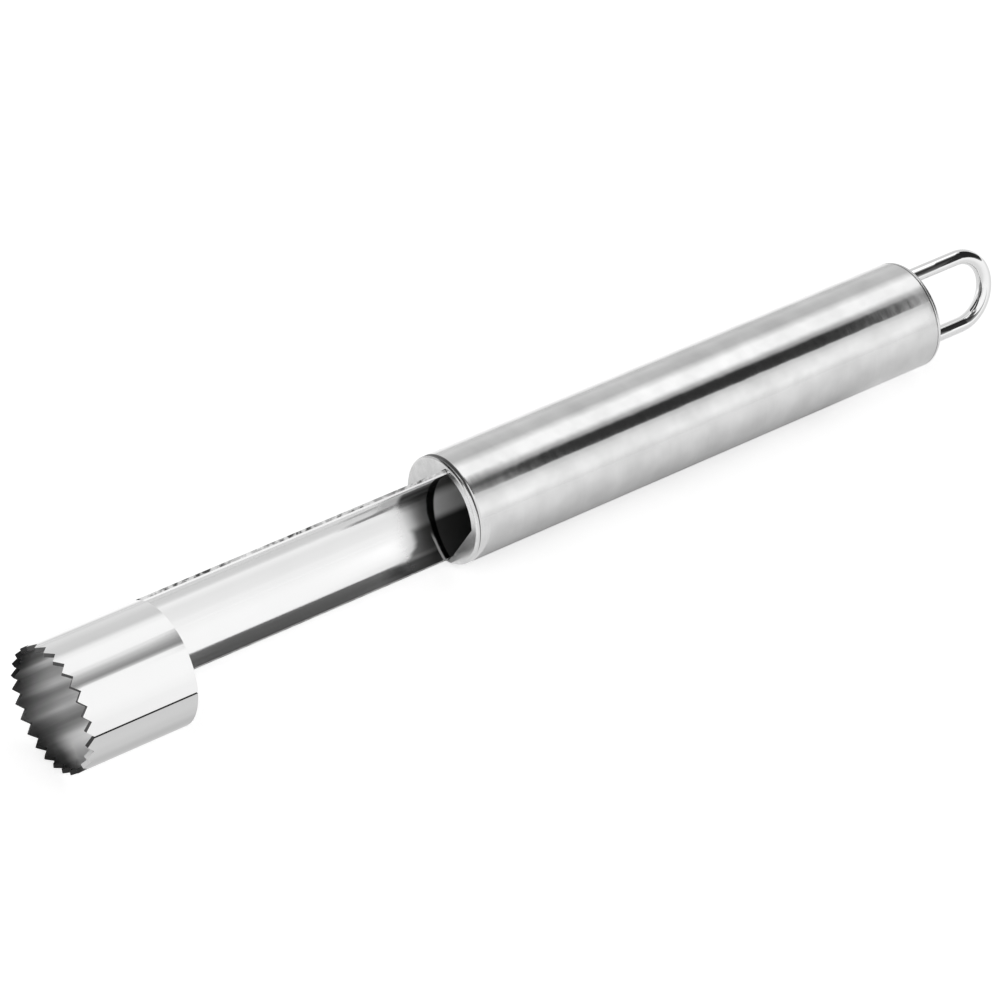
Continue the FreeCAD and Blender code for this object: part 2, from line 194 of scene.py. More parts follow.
far, near = 0.62, 0.30
blade_side, handle_side = (-0.5, 0.320), (0.320, 0.60)
strip("front_light_blade", blade_side, far, [(-0.9, 0.96), (20, 1.0), (46, 1.0)])
strip("front_light_handle", handle_side, far,
      [(-0.9, 0.95), (16, 1.16), (26, 1.10), (36, 0.98), (46, 0.78)])
strip("behind_strips_blade", blade_side, far, [(46, 1.0), (84, 0.98)])
strip("behind_strips_handle", handle_side, far, [(46, 0.78), (60, 0.8), (84, 0.95)])
strip("top_light_blade", blade_side, far, [(84, 0.98), (114, 0.99), (122, 0.92)])
strip("top_light_handle", handle_side, far, [(84, 0.95), (92, 1.28), (112, 1.26), (122, 1.0)])
strip("back_card", (-0.7, 1.4), far,
      [(122, 0.92), (134, 0.64), (146, 0.66), (170, 0.76), (180.5, 0.66)])

# %% [markdown]
# The wire of the loop is thin and round, so it shows the whole room in a few lines. Its dark
# lines come from small dark panels close beside it, graded where a line fades out. One more
# dark panel hangs far before the tool, where the surfaces that face its front end find it.

# %% Dark panels beside the loop
beside_loop = 0.040
strip("dark_by_legs", (0.1085, 0.1185), beside_loop,
      [(-2, 0.75), (6, 0.45), (22, 0.2), (34, 0.06), (66, 0.03), (76, 0.2), (86, 0.75)])
strip("dark_before_bow", (0.1185, 0.1240), beside_loop,
      [(2, 0.7), (8, 0.4), (24, 0.1), (78, 0.02), (88, 0.2), (98, 0.75)])
strip("dark_by_bow_start", (0.1240, 0.1310), beside_loop,
      [(10, 0.35), (18, 0.03), (92, 0.02), (104, 0.6)])
strip("dark_by_bow", (0.1310, 0.20), beside_loop, [(14, 0.3), (18, 0.02), (112, 0.02), (118, 0.4)])
strip("dark_before", (-0.9, 0.05), 0.50, [(74, 0.3), (82, 0.02), (140, 0.02), (150, 0.4)])

# %% [markdown]
# The narrow strips hang nearer. Each stretch of them is seen by one stretch of the tool: a pale
# one by the ring, a dark one by the trough, and the black one by the handle. At both ends of
# the handle the black fades into grey.

# %% Narrow strips
strip("pale_strip", (0.010, 0.065), near,
      [(58, 0.94), (61.5, 0.45), (65, 0.28), (69, 0.34), (76, 0.52), (84, 0.8), (90, 0.97)])
strip("middle_strip", (0.065, 0.150), near, [(51, 0.10), (84, 0.07), (90, 0.3)])
strip("black_strip_root", (0.150, 0.160), near,
      [(50, 0.78), (58, 0.55), (66, 0.24), (74, 0.45), (84, 0.9)])
strip("black_strip_start", (0.160, 0.172), near,
      [(50, 0.14), (57, 0.07), (64, 0.04), (70, 0.06), (76, 0.5), (84, 0.78)])
strip("black_strip", (0.172, 0.2935), near, [(50, 0.03), (72, 0.02), (78, 0.5), (84, 0.75)])
strip("black_strip_end", (0.2935, 0.2965), near,
      [(50, 0.45), (58, 0.35), (66, 0.32), (76, 0.5), (84, 0.8)])
strip("grey_strip_end", (0.2965, 0.315), near,
      [(50, 0.78), (58, 0.7), (66, 0.66), (76, 0.72), (84, 0.82)])
end_x, end_near, end_far = 0.60, -0.62, 0.08
panel("dark_end", [[(end_x, end_near, z), (end_x, end_far, z)] for z in (0.015, 0.63)],
      [(0, 0.4), (0.05, 0.03), (1, 0.03)])

# %% [markdown]
# What lies on the floor before the tool shows in its lower half. Cards just above the floor
# set that: a nearly white one before the ring, a grey one close under it, whose edge gives the
# ring a grey part below its seam, one under the trough, and one behind the tool.

# %% Cards on the floor
card_height = 0.6 * MM


def floor_card(name, near_x, near_y, far_x, far_y, levels, height=card_height):
    """A card just above the floor. near_x and far_x are the ends of its near and far edges."""
    edges = [[(x, y, height) for x in ends] for ends, y in ((near_x, near_y), (far_x, far_y))]
    panel(name, edges, levels)


seam_mirror = ring_axis.y - 34.6 * MM
under_ring = ring_axis.y - 4.2 * MM
floor_card("ring_card", (-0.16, -0.045), seam_mirror, (-0.16, 0.40), -0.9, [(0, 0.93), (1, 0.98)])
floor_card("ring_grey_card", (-0.16, -0.068), under_ring, (-0.16, -0.058), seam_mirror,
           [(0, 0.75), (0.08, 0.68), (0.14, 0.53), (0.2, 0.52), (0.32, 0.61), (0.5, 0.65), (1, 0.63)])
floor_card("trough_card", (-0.077, -0.019), 0.001, (0.065, 0.150), -0.30,
           [(0, 0.92), (0.015, 0.83), (0.03, 0.85), (0.09, 0.93), (0.7, 0.98)], 1.0 * MM)
floor_card("back_floor_card", (-0.14, 0.42), 0.014, (-0.14, 0.42), 0.40,
           [(0, 0.72), (0.04, 0.95), (0.08, 1.08), (0.145, 0.98), (0.275, 0.8), (0.456, 0.64),
            (1, 0.62)])

# %% [markdown]
# The floor and the room behind it are white. The camera and the metal see them at full white,
# and the floor keeps a part of plain diffuse light, so that the tool's soft shadow stays.

# %% A Math node in one call
def calc(tree, operation, *values):
    """A Math node; each value is a number or a socket."""
    node = tree.nodes.new("ShaderNodeMath")
    node.operation = operation
    for socket, value in zip(node.inputs, values):
        if isinstance(value, bpy.types.NodeSocket):
            tree.links.new(value, socket)
        else:
            socket.default_value = value
    return node.outputs[0]


# %% [markdown]
# The room is the world's background. As light it is a little under white, so that pale steel
# does not clip; where the camera or a mirror-like surface sees it, it is white.

# %% Room
room_light, full_white = 0.75, 1.0
room = bpy.data.worlds.new("room")
bpy.context.scene.world = room
room.use_nodes = True
nodes, links = room.node_tree.nodes, room.node_tree.links
nodes.clear()
rays = nodes.new("ShaderNodeLightPath")
seen = calc(room.node_tree, "MAXIMUM", rays.outputs["Is Camera Ray"], rays.outputs["Is Glossy Ray"])
seen = calc(room.node_tree, "MAXIMUM", seen, rays.outputs["Is Transmission Ray"])
lit = nodes.new("ShaderNodeMapRange")
lit.inputs["To Min"].default_value = room_light
lit.inputs["To Max"].default_value = full_white
links.new(seen, lit.inputs["Value"])
background = nodes.new("ShaderNodeBackground")
links.new(lit.outputs[0], background.inputs["Strength"])
end = nodes.new("ShaderNodeOutputWorld")
links.new(background.outputs[0], end.inputs[0])
print(f"room: {room_light} as light, {full_white} where it is seen")

# %% [markdown]
# The floor glows a little for the camera, which brings it up to white round the tool's shadow.
# For the metal it glows only away from the handle, because the real tool shades the floor that
# its lower side reflects.

# %% Floor
half_floor = 3.0
floor_grey = 0.78
floor_glow = 0.62
shaded_reach = 16 * MM
away_glow = 0.5
rear_patch_values = (0.062, 0.076, 0.0, 0.60)
floor_mesh = bpy.data.meshes.new("floor")
floor_mesh.from_pydata([(x * half_floor, y * half_floor, 0) for x, y in ((-1, -1), (1, -1), (1, 1), (-1, 1))],
                       [], [(0, 1, 2, 3)])
floor = bpy.data.objects.new("floor", floor_mesh)
bpy.context.scene.collection.objects.link(floor)
floor_paint = bpy.data.materials.new("white_floor")
floor_paint.use_nodes = True
nodes, links = floor_paint.node_tree.nodes, floor_paint.node_tree.links
nodes.clear()
rays = nodes.new("ShaderNodeLightPath")
spot = nodes.new("ShaderNodeTexCoord")
split = nodes.new("ShaderNodeSeparateXYZ")
links.new(spot.outputs["Object"], split.inputs[0])
tree = floor_paint.node_tree
beside = calc(tree, "SUBTRACT", split.outputs["Y"], handle_axis.y)
beside = calc(tree, "MULTIPLY", beside, beside)
mirror_part = calc(tree, "DIVIDE", beside, calc(tree, "ADD", beside, shaded_reach ** 2))
rear_patch = nodes.new("ShaderNodeMapRange")
for label, value in zip(("From Min", "From Max", "To Min", "To Max"), rear_patch_values):
    rear_patch.inputs[label].default_value = value
links.new(split.outputs["X"], rear_patch.inputs["Value"])
mirror_part = calc(tree, "MAXIMUM", mirror_part, rear_patch.outputs[0])
mirror_part = calc(tree, "MULTIPLY", calc(tree, "MULTIPLY", mirror_part, away_glow),
                   rays.outputs["Is Glossy Ray"])
glow = nodes.new("ShaderNodeEmission")
links.new(calc(tree, "MULTIPLY_ADD", rays.outputs["Is Camera Ray"], floor_glow, mirror_part),
          glow.inputs["Strength"])
matt = nodes.new("ShaderNodeBsdfDiffuse")
matt.inputs["Color"].default_value = (floor_grey, floor_grey, floor_grey, 1)
both = nodes.new("ShaderNodeAddShader")
links.new(glow.outputs[0], both.inputs[0])
links.new(matt.outputs[0], both.inputs[1])
end = nodes.new("ShaderNodeOutputMaterial")
links.new(both.outputs[0], end.inputs[0])
floor_mesh.materials.append(floor_paint)
print(f"floor: {2 * half_floor:.0f} m square, grey {floor_grey}")

# %% [markdown]
# Every finish here is steel, and each carries fine marks from rolling or grinding. One node
# group makes them: noise that is stretched a long way along the stroke of the wheel, and a
# second, rounder noise for clouds. Both are masks that change over the surface, and each steel
# uses them with its own values.

# %% Node group: grinding lines
def add_group_socket(tree, name, direction, kind="NodeSocketFloat", value=None):
    """An input or output of a node group."""
    socket = tree.interface.new_socket(name=name, in_out=direction, socket_type=kind)
    if value is not None:
        socket.default_value = value


grind = bpy.data.node_groups.new("grinding_lines", "ShaderNodeTree")
add_group_socket(grind, "Place", "INPUT", "NodeSocketVector")
add_group_socket(grind, "Stretch", "INPUT", "NodeSocketVector")
add_group_socket(grind, "Cloud scale", "INPUT", value=100.0)
add_group_socket(grind, "Lines", "OUTPUT")
add_group_socket(grind, "Clouds", "OUTPUT")
nodes, links = grind.nodes, grind.links
come = nodes.new("NodeGroupInput")
go = nodes.new("NodeGroupOutput")
stretch = nodes.new("ShaderNodeVectorMath")
stretch.operation = "MULTIPLY"
links.new(come.outputs["Place"], stretch.inputs[0])
links.new(come.outputs["Stretch"], stretch.inputs[1])
strokes = nodes.new("ShaderNodeTexNoise")
strokes.inputs["Scale"].default_value = 1.0
strokes.inputs["Detail"].default_value = 3.0
links.new(stretch.outputs[0], strokes.inputs["Vector"])
links.new(strokes.outputs[0], go.inputs["Lines"])
clouds = nodes.new("ShaderNodeTexNoise")
clouds.inputs["Detail"].default_value = 2.0
links.new(come.outputs["Place"], clouds.inputs["Vector"])
links.new(come.outputs["Cloud scale"], clouds.inputs["Scale"])
links.new(clouds.outputs[0], go.inputs["Clouds"])
print("group:", grind.name)

# %% [markdown]
# A steel is a fully metallic surface. What tells one finish from another is how rough it is
# and which way its scratches run, so one function makes all of them from a few numbers.

# %% Steel finishes
def steel(name, grey, roughness, spread, stretch, line_height, clouds=0.0, cloud_scale=120.0,
          wave_height=0.0, metallic=1.0, line_tint=0.0):
    """A steel: its grey, its roughness and how much that changes, its grinding lines, and the
    slow waves that hand grinding leaves in the surface."""
    material = bpy.data.materials.new(name)
    material.use_nodes = True
    nodes, links = material.node_tree.nodes, material.node_tree.links
    skin = nodes["Principled BSDF"]
    skin.inputs["Metallic"].default_value = metallic
    place = nodes.new("ShaderNodeTexCoord")
    lines = nodes.new("ShaderNodeGroup")
    lines.node_tree = grind
    lines.inputs["Stretch"].default_value = stretch
    lines.inputs["Cloud scale"].default_value = cloud_scale
    links.new(place.outputs["Object"], lines.inputs["Place"])
    change = nodes.new("ShaderNodeMapRange")
    change.inputs["From Min"].default_value = 0.3
    change.inputs["From Max"].default_value = 0.7
    change.inputs["To Min"].default_value = roughness - spread
    change.inputs["To Max"].default_value = roughness + spread
    links.new(lines.outputs["Lines"], change.inputs["Value"])
    links.new(change.outputs[0], skin.inputs["Roughness"])
    tint = nodes.new("ShaderNodeMapRange")
    tint.inputs["From Min"].default_value = 0.3
    tint.inputs["From Max"].default_value = 0.7
    tint.inputs["To Min"].default_value = grey - clouds
    tint.inputs["To Max"].default_value = grey + clouds
    links.new(lines.outputs["Clouds"], tint.inputs["Value"])
    tree = material.node_tree
    marked = calc(tree, "MULTIPLY_ADD", lines.outputs["Lines"], 5 * line_tint, 1 - 2.5 * line_tint)
    marked = calc(tree, "MULTIPLY", tint.outputs[0], marked)
    paint = nodes.new("ShaderNodeCombineColor")
    for channel in range(3):
        links.new(marked, paint.inputs[channel])
    links.new(paint.outputs[0], skin.inputs["Base Color"])
    relief = nodes.new("ShaderNodeBump")
    relief.inputs["Strength"].default_value = 1.0
    relief.inputs["Distance"].default_value = line_height
    links.new(lines.outputs["Lines"], relief.inputs["Height"])
    waves = nodes.new("ShaderNodeBump")
    waves.inputs["Strength"].default_value = 1.0
    waves.inputs["Distance"].default_value = wave_height
    links.new(lines.outputs["Clouds"], waves.inputs["Height"])
    links.new(relief.outputs[0], waves.inputs["Normal"])
    links.new(waves.outputs[0], skin.inputs["Normal"])
    return material


# %% [markdown]
# The blade and the wire are bright, the handle is satin from a wheel that ran round it, the
# caps are duller, and where no wheel came the steel is raw. The stretch says which way the
# marks run: a small number along x draws them out along the tool.

# %% The finishes of this corer
along = (60.0, 2500.0, 2500.0)
around = (3500.0, 60.0, 60.0)
grainy = (900.0, 900.0, 900.0)
polished = steel("polished_sheet", 0.93, 0.09, 0.02, along, 0.0000006, clouds=0.01)
satin = steel("satin_tube", 0.72, 0.12, 0.03, around, 0.0000009, clouds=0.055, cloud_scale=170.0,
              wave_height=0.00005, line_tint=0.015)
cap_steel_and_highlight = steel("pressed_cap_steel", 0.65, 0.25, 0.01, grainy, 0.0000001, clouds=0.045,
                  cloud_scale=500.0)
bright = steel("drawn_wire", 0.93, 0.04, 0.01, (300.0, 300.0, 300.0), 0.0000003)
raw = steel("raw_bore", 0.42, 0.6, 0.08, grainy, 0.000002, clouds=0.03, metallic=0.35)
cut_edge_and_painted_light = steel("cut_edge_and_painted_light", 0.88, 0.42, 0.06, grainy, 0.000002, clouds=0.05, cloud_scale=700.0)
end_steel = steel("end_cap_steel", 0.35, 0.35, 0.03, grainy, 0.0000006, clouds=0.03,
                  cloud_scale=500.0)
finishes = (polished, satin, cap_steel_and_highlight, bright, raw, cut_edge_and_painted_light, end_steel)
print("finishes:", ", ".join(finish.name for finish in finishes))


# %% [markdown]
# Some steels change from place to place: along the tool, by height, or with the angle round an
# axis. These helpers read the place from the object's own coordinates and shade the steel by it.
# The tones were set by comparing with the photograph, so they hold some of its shade as well as
# the finish, and they stay as they are in other light. How a surface came to look so is a guess.

# %% Steel that changes from place to place
def place_of(material):
    """The three coordinates of the point that is shaded."""
    nodes, links = material.node_tree.nodes, material.node_tree.links
    where = nodes.new("ShaderNodeSeparateXYZ")
    links.new(nodes["Texture Coordinate"].outputs["Object"], where.inputs[0])
    return (where.outputs[axis] for axis in "XYZ")


def soft_step(tree, value, start, stop, before, after):
    """A value that passes softly from before to after as another goes from start to stop."""
    node = tree.nodes.new("ShaderNodeMapRange")
    node.interpolation_type = "SMOOTHSTEP"
    for label, number in zip(("From Min", "From Max", "To Min", "To Max"), (start, stop, before, after)):
        node.inputs[label].default_value = number
    tree.links.new(value, node.inputs["Value"])
    return node.outputs[0]


def by_angle(tree, axis, y, z, levels):
    """A value that follows the angle round an axis, in degrees up from the open side."""
    turned_by = calc(tree, "ARCTAN2", calc(tree, "SUBTRACT", axis.z, z), calc(tree, "SUBTRACT", y, axis.y))
    ramp = ramp_node(tree.nodes, [(degrees / 360, level) for degrees, level in levels])
    tree.links.new(calc(tree, "MULTIPLY_ADD", turned_by, 1 / (2 * math.pi), 0.5), ramp.inputs[0])
    return ramp.outputs[0]


def shade_by(material, tone):
    """Multiplies the base colour of a steel by a tone."""
    nodes, links = material.node_tree.nodes, material.node_tree.links
    darken = nodes.new("ShaderNodeVectorMath")
    darken.operation = "SCALE"
    colour = nodes["Principled BSDF"].inputs["Base Color"]
    links.new(colour.links[0].from_socket, darken.inputs[0])
    links.new(tone, darken.inputs["Scale"])
    links.new(darken.outputs[0], colour)


# %% [markdown]
# The groove where cap and tube meet is painted with its shade: a dark line, broad and dark at
# the back and thin at the front. So the painted shade is a part of the steel, and its width
# follows the angle round the handle.

# %% Painted shade in the groove of the joint
joint_steel_and_painted_shade = steel("joint_steel_and_painted_shade", 0.74, 0.14, 0.03, around, 0.0000009, clouds=0.04, cloud_scale=190.0)
tree = joint_steel_and_painted_shade.node_tree
x, y, z = place_of(joint_steel_and_painted_shade)
away = calc(tree, "ABSOLUTE", calc(tree, "SUBTRACT", x, tube_low.x))
# Painted shade of the groove: its width follows the angle round the handle.
width = by_angle(tree, handle_axis, y, z, [(0, 0.10), (40, 0.14), (62, 0.22), (80, 0.40), (100, 0.50),
                                           (140, 0.50), (180, 0.10), (315, 0.0), (360, 0.10)])
past = calc(tree, "SUBTRACT", away, calc(tree, "MULTIPLY", width, MM))
in_groove_shade = soft_step(tree, past, -0.08 * MM, 0.04 * MM, 1.0, 0.0)
shade_by(joint_steel_and_painted_shade, calc(tree, "MULTIPLY_ADD", in_groove_shade, -0.82, 1.0))
skin = tree.nodes["Principled BSDF"]
tree.links.new(calc(tree, "MULTIPLY_ADD", in_groove_shade, -0.9, 1.0), skin.inputs["Metallic"])
print("joint line:", joint_steel_and_painted_shade.name)

# %% [markdown]
# The flanks of the teeth are black round most of the ring, and bright in one place below the
# seam. The black is partly a cut that was never polished and partly painted shade; the bright
# place is a painted highlight. Both are one tone that follows the angle.

# %% Cut edges
tree = cut_edge_and_painted_light.node_tree
_, y, z = place_of(cut_edge_and_painted_light)
# Painted highlight on the flanks below the seam; elsewhere painted shade darkens them.
cut_painted_highlight = by_angle(tree, ring_axis, y, z, [(325, 0.0), (334, 1.0), (352, 1.0), (358, 0.0)])
shade_by(cut_edge_and_painted_light, by_angle(tree, ring_axis, y, z, [
    (0, 0.14), (110, 0.15), (150, 0.04), (322, 0.05), (334, 1.13), (352, 1.13), (358, 0.14)]))
skin = tree.nodes["Principled BSDF"]
tree.links.new(calc(tree, "SUBTRACT", 1.0, cut_painted_highlight), skin.inputs["Metallic"])
print("cut edges:", cut_edge_and_painted_light.name)

# %% [markdown]
# The side of the cap that faces the open trough is a little brighter: a painted highlight, as a
# tone that follows the angle round the handle.

# %% Painted highlight on one side of the cap
tree = cap_steel_and_highlight.node_tree
_, y, z = place_of(cap_steel_and_highlight)
# Painted highlight: a tone above 1 on the side towards the open trough.
shade_by(cap_steel_and_highlight, by_angle(tree, handle_axis, y, z, [
    (0, 1.25), (20, 1.38), (60, 1.38), (85, 1.05), (130, 1.0), (250, 1.0), (320, 1.05), (360, 1.25)]))
print("cap:", cap_steel_and_highlight.name)

# %% [markdown]
# The long edges of the trough are bright, with a broken dark line of burr along their outer
# corner. The grinding lines, stretched evenly, break it into dashes; the clouds make whole
# stretches of it stronger or weaker.

# %% Burr on the edges of the trough
burr = steel("burr_edge", 0.93, 0.12, 0.02, along, 0.0000006)
tree = burr.node_tree
_, y, z = place_of(burr)
across = calc(tree, "SUBTRACT", y, ring_axis.y)
height = calc(tree, "SUBTRACT", z, ring_axis.z)
height_squared = calc(tree, "MULTIPLY", height, height)
reach = calc(tree, "SQRT", calc(tree, "MULTIPLY_ADD", across, across, height_squared))
dashes = tree.nodes.new("ShaderNodeGroup")
dashes.node_tree = grind
dashes.inputs["Stretch"].default_value = (750.0, 750.0, 750.0)
dashes.inputs["Cloud scale"].default_value = 70.0
tree.links.new(tree.nodes["Texture Coordinate"].outputs["Object"], dashes.inputs["Place"])
dash = soft_step(tree, dashes.outputs["Lines"], 0.42, 0.60, 0.92, 0.30)
dash = calc(tree, "MULTIPLY", dash, soft_step(tree, dashes.outputs["Clouds"], 0.40, 0.56, 0.45, 1.0))
at_corner = soft_step(tree, reach, ring_radius - 0.56 * MM, ring_radius - 0.40 * MM, 0.0, 1.0)
shade_by(burr, calc(tree, "SUBTRACT", 1.0, calc(tree, "MULTIPLY", dash, at_corner)))
print("burr:", burr.name)

# %% [markdown]
# The inside of the ring looks dark and dull, with bands along it. A buffing wheel hardly gets in
# there, and the ring shades itself: one tone stands for the dull steel and the painted shade. The
# bands are painted reflections. The open trough is as bright as the outside. A dark band where
# the strip meets the cap is a painted dark reflection, and behind the cap the sheet is taken to
# be raw.

# %% Inside of the blade
inside = steel("inside_sheet", 0.93, 0.10, 0.02, along, 0.0000006, clouds=0.01)
tree = inside.node_tree
nodes, links = tree.nodes, tree.links
skin = nodes["Principled BSDF"]
x, y, z = place_of(inside)
teeth_x, trough_x = blade_low.x, blade_low.x + 22 * MM
print(f"ring from {1000 * teeth_x:.1f} to {1000 * trough_x:.1f} mm")

# %% [markdown]
# The bands are painted reflections that run along the tool, each at its own angle round the
# ring, so they are a ramp over that angle. Noise that is drawn out along the tool breaks them up
# a little.

# %% Painted reflections in bands along the inside of the ring
reflection_streaks = nodes.new("ShaderNodeGroup")
reflection_streaks.node_tree = grind
reflection_streaks.inputs["Stretch"].default_value = (30.0, 420.0, 420.0)
links.new(nodes["Texture Coordinate"].outputs["Object"], reflection_streaks.inputs["Place"])
reflection_streak = soft_step(tree, reflection_streaks.outputs["Lines"], 0.35, 0.65, 0.82, 1.18)
# Painted reflections: brighter and darker bands by the angle round the ring.
ring_painted_reflections = by_angle(tree, ring_axis, y, z, [
    (100, 0.9), (150, 1.0), (158, 1.5), (166, 0.85), (172, 1.0), (179, 1.7), (187, 0.9),
    (196, 0.9), (204, 1.25), (212, 0.45), (220, 0.85), (227, 1.3), (234, 0.75), (244, 0.6),
    (262, 0.75), (290, 0.9)])
print("bands along the inside of the ring, over", reflection_streaks.node_tree.name)

# %% [markdown]
# Beside the seam the inside of the ring has a painted highlight, and where it starts changes
# with the angle too. A ramp gives plain numbers and not lengths, so a distance is stored as a
# share of a centimetre.

# %% Painted highlight beside the seam
ramp_reach = 10 * MM
# Painted highlight beside the seam, starting at a distance that follows the angle.
seam_painted_highlight = by_angle(tree, ring_axis, y, z, [(246, 0.0), (258, 0.5), (270, 0.8), (290, 1.0), (330, 1.0)])
highlight_from = by_angle(tree, ring_axis, y, z, [
    (250, 0.26), (270, 0.24), (286, 0.16), (298, 0.06), (310, 0.0)])
past = calc(tree, "MULTIPLY_ADD", highlight_from, -ramp_reach, x)
seam_painted_highlight = calc(tree, "MULTIPLY", seam_painted_highlight, soft_step(tree, past, teeth_x, teeth_x + 3.6 * MM, 0.0, 1.0))
# Painted light near the teeth, at a few angles.
teeth_painted_light = by_angle(tree, ring_axis, y, z, [
    (136, 0.40), (142, 0.40), (150, 0.14), (156, 0.06), (166, 0.01), (205, 0.0), (214, 0.06),
    (226, 0.10), (236, 0.03), (250, 0.0)])
behind_teeth = soft_step(tree, x, teeth_x + 2.5 * MM, teeth_x + 6 * MM, 1.0, 0.3)
teeth_painted_light = calc(tree, "MULTIPLY", teeth_painted_light, behind_teeth)
print(f"distances in ramps are shares of {1000 * ramp_reach:.0f} mm")

# %% [markdown]
# All this is added up to one tone: nearly black at the teeth and brighter towards the rear rim,
# which is dull steel and painted shade together, and full in the trough, but for a few faint
# bands of painted reflection under its upper edge.

# %% Dull, shaded ring, bright trough
# Dull steel and painted shade: nearly black at the teeth, brighter towards the rear rim.
dull_and_shaded = calc(tree, "MULTIPLY", soft_step(tree, x, teeth_x, teeth_x + 8 * MM, 0.09, 0.66),
            soft_step(tree, x, teeth_x + 8 * MM, trough_x, 1.0, 1.52))
dull_and_shaded = calc(tree, "MULTIPLY", calc(tree, "MULTIPLY", dull_and_shaded, ring_painted_reflections), reflection_streak)
dull_and_shaded = calc(tree, "ADD", calc(tree, "ADD", dull_and_shaded, teeth_painted_light), seam_painted_highlight)
dull_and_shaded = calc(tree, "MINIMUM", dull_and_shaded, 1.0)
in_ring = soft_step(tree, x, trough_x - 4 * MM, trough_x, 1.0, 0.0)
# Faint bands of painted reflection under the trough's upper edge.
trough_painted_reflections = by_angle(tree, ring_axis, y, z, [
    (144, 0.95), (150, 0.88), (154, 0.78), (158, 0.78), (166, 0.86), (172, 1.0)])
tone = calc(tree, "MULTIPLY_ADD", dull_and_shaded, in_ring,
            calc(tree, "MULTIPLY", trough_painted_reflections, calc(tree, "SUBTRACT", 1.0, in_ring)))
print("inside of the ring: dull, in bands; trough: bright")

# %% [markdown]
# The blade is taken to be welded to the cap. Before the cap the trough carries a painted dark
# reflection with an uneven front edge, and at the cap a painted shade line with a thin painted
# highlight, the bead, before it. Inside the handle one band is painted lit, as light through the
# mouth would light it; it is painted into the steel by height, so it stays bright in any light.

# %% Painted dark reflection before the cap
lit_band = calc(tree, "MULTIPLY", soft_step(tree, z, 6.6 * MM, 8.2 * MM, 0.06, 1.0),
                soft_step(tree, z, 10.8 * MM, 14.2 * MM, 1.0, 0.12))
near_weld = soft_step(tree, x, tube_low.x - 13 * MM, tube_low.x - 7 * MM, 0.0, 1.0)
# Painted dark reflection, stronger low down near the cap.
low_dark_reflection = calc(tree, "MULTIPLY", soft_step(tree, z, 2.9 * MM, 3.5 * MM, 0.75, 0.0),
                soft_step(tree, x, tube_low.x - 16 * MM, tube_low.x - 10 * MM, 0.0, 1.0))
# Painted dark reflection: how far before the cap it reaches, and how dark it is.
dark_reflection_reach = by_angle(tree, ring_axis, y, z, [
    (148, 0.92), (160, 0.92), (172, 0.88), (178, 0.8), (184, 0.72), (196, 0.68), (202, 0.64),
    (208, 0.58), (216, 0.58), (220, 0.62), (226, 0.76), (232, 0.9), (240, 1.0)])
dark_reflection_tone = by_angle(tree, ring_axis, y, z, [
    (147, 1.0), (152, 0.25), (160, 0.08), (166, 0.22), (172, 0.36), (178, 0.7), (184, 0.9),
    (200, 0.92), (208, 0.24), (220, 0.24), (226, 0.26), (232, 0.7), (238, 1.0)])
in_dark_reflection = soft_step(tree, calc(tree, "MULTIPLY_ADD", dark_reflection_reach, ramp_reach, x),
                   tube_low.x - 0.8 * MM, tube_low.x + 0.8 * MM, 0.0, 1.0)
darkened = calc(tree, "MULTIPLY", in_dark_reflection, calc(tree, "SUBTRACT", 1.0, dark_reflection_tone))
dark_reflection = calc(tree, "SUBTRACT", 1.0, darkened)
print(f"heat tint: up to {1000 * ramp_reach:.0f} mm before the cap")

# %% [markdown]
# The painted shade line is thin and follows the edge of the cap. Its distance from the cap
# changes round the trough, again as a share of a centimetre.

# %% Painted shade line and highlight bead
# A painted shade line along the edge of the cap.
shade_line_reach = by_angle(tree, ring_axis, y, z, [
    (150, 0.26), (172, 0.25), (190, 0.23), (208, 0.19), (226, 0.16), (240, 0.16)])
from_shade_line = calc(tree, "MULTIPLY_ADD", shade_line_reach, ramp_reach, x)
shade_line = soft_step(tree, from_shade_line, tube_low.x - 0.2 * MM, tube_low.x + 0.2 * MM, 1.0, 0.05)
painted_darkening = calc(tree, "MULTIPLY", shade_line, calc(tree, "SUBTRACT", 1.0, low_dark_reflection))
painted_darkening = calc(tree, "MULTIPLY", painted_darkening, dark_reflection)
# A thin painted highlight, the bead, just before the shade line, low on the trough.
highlight_front = soft_step(tree, from_shade_line, tube_low.x - 0.8 * MM, tube_low.x - 0.5 * MM, 0.0, 1.0)
highlight_back = soft_step(tree, from_shade_line, tube_low.x - 0.25 * MM, tube_low.x - 0.05 * MM, 1.0, 0.0)
painted_bead_highlight = calc(tree, "MULTIPLY", calc(tree, "MULTIPLY", highlight_front, highlight_back),
            soft_step(tree, z, 4.2 * MM, 6.2 * MM, 1.0, 0.0))
in_handle = soft_step(tree, x, tube_low.x - 1.0 * MM, tube_low.x - 0.6 * MM, 0.0, 1.0)
tone = calc(tree, "MAXIMUM", calc(tree, "MULTIPLY", tone, painted_darkening), calc(tree, "MULTIPLY", painted_bead_highlight, 0.9))
outside = calc(tree, "MULTIPLY", tone, calc(tree, "SUBTRACT", 1.0, in_handle))
shade_by(inside, calc(tree, "MULTIPLY_ADD", lit_band, in_handle, outside))
print(f"weld before the cap at {1000 * tube_low.x:.1f} mm")

# %% [markdown]
# A matt surface scatters light where a polished one mirrors it. The steel inside the handle
# and the painted highlight of the bead are partly matt, and so is a narrow part beside the upper
# edge. The ring, the part just before the cap and a rubbed part near the handle are polished
# less, so they are rougher.

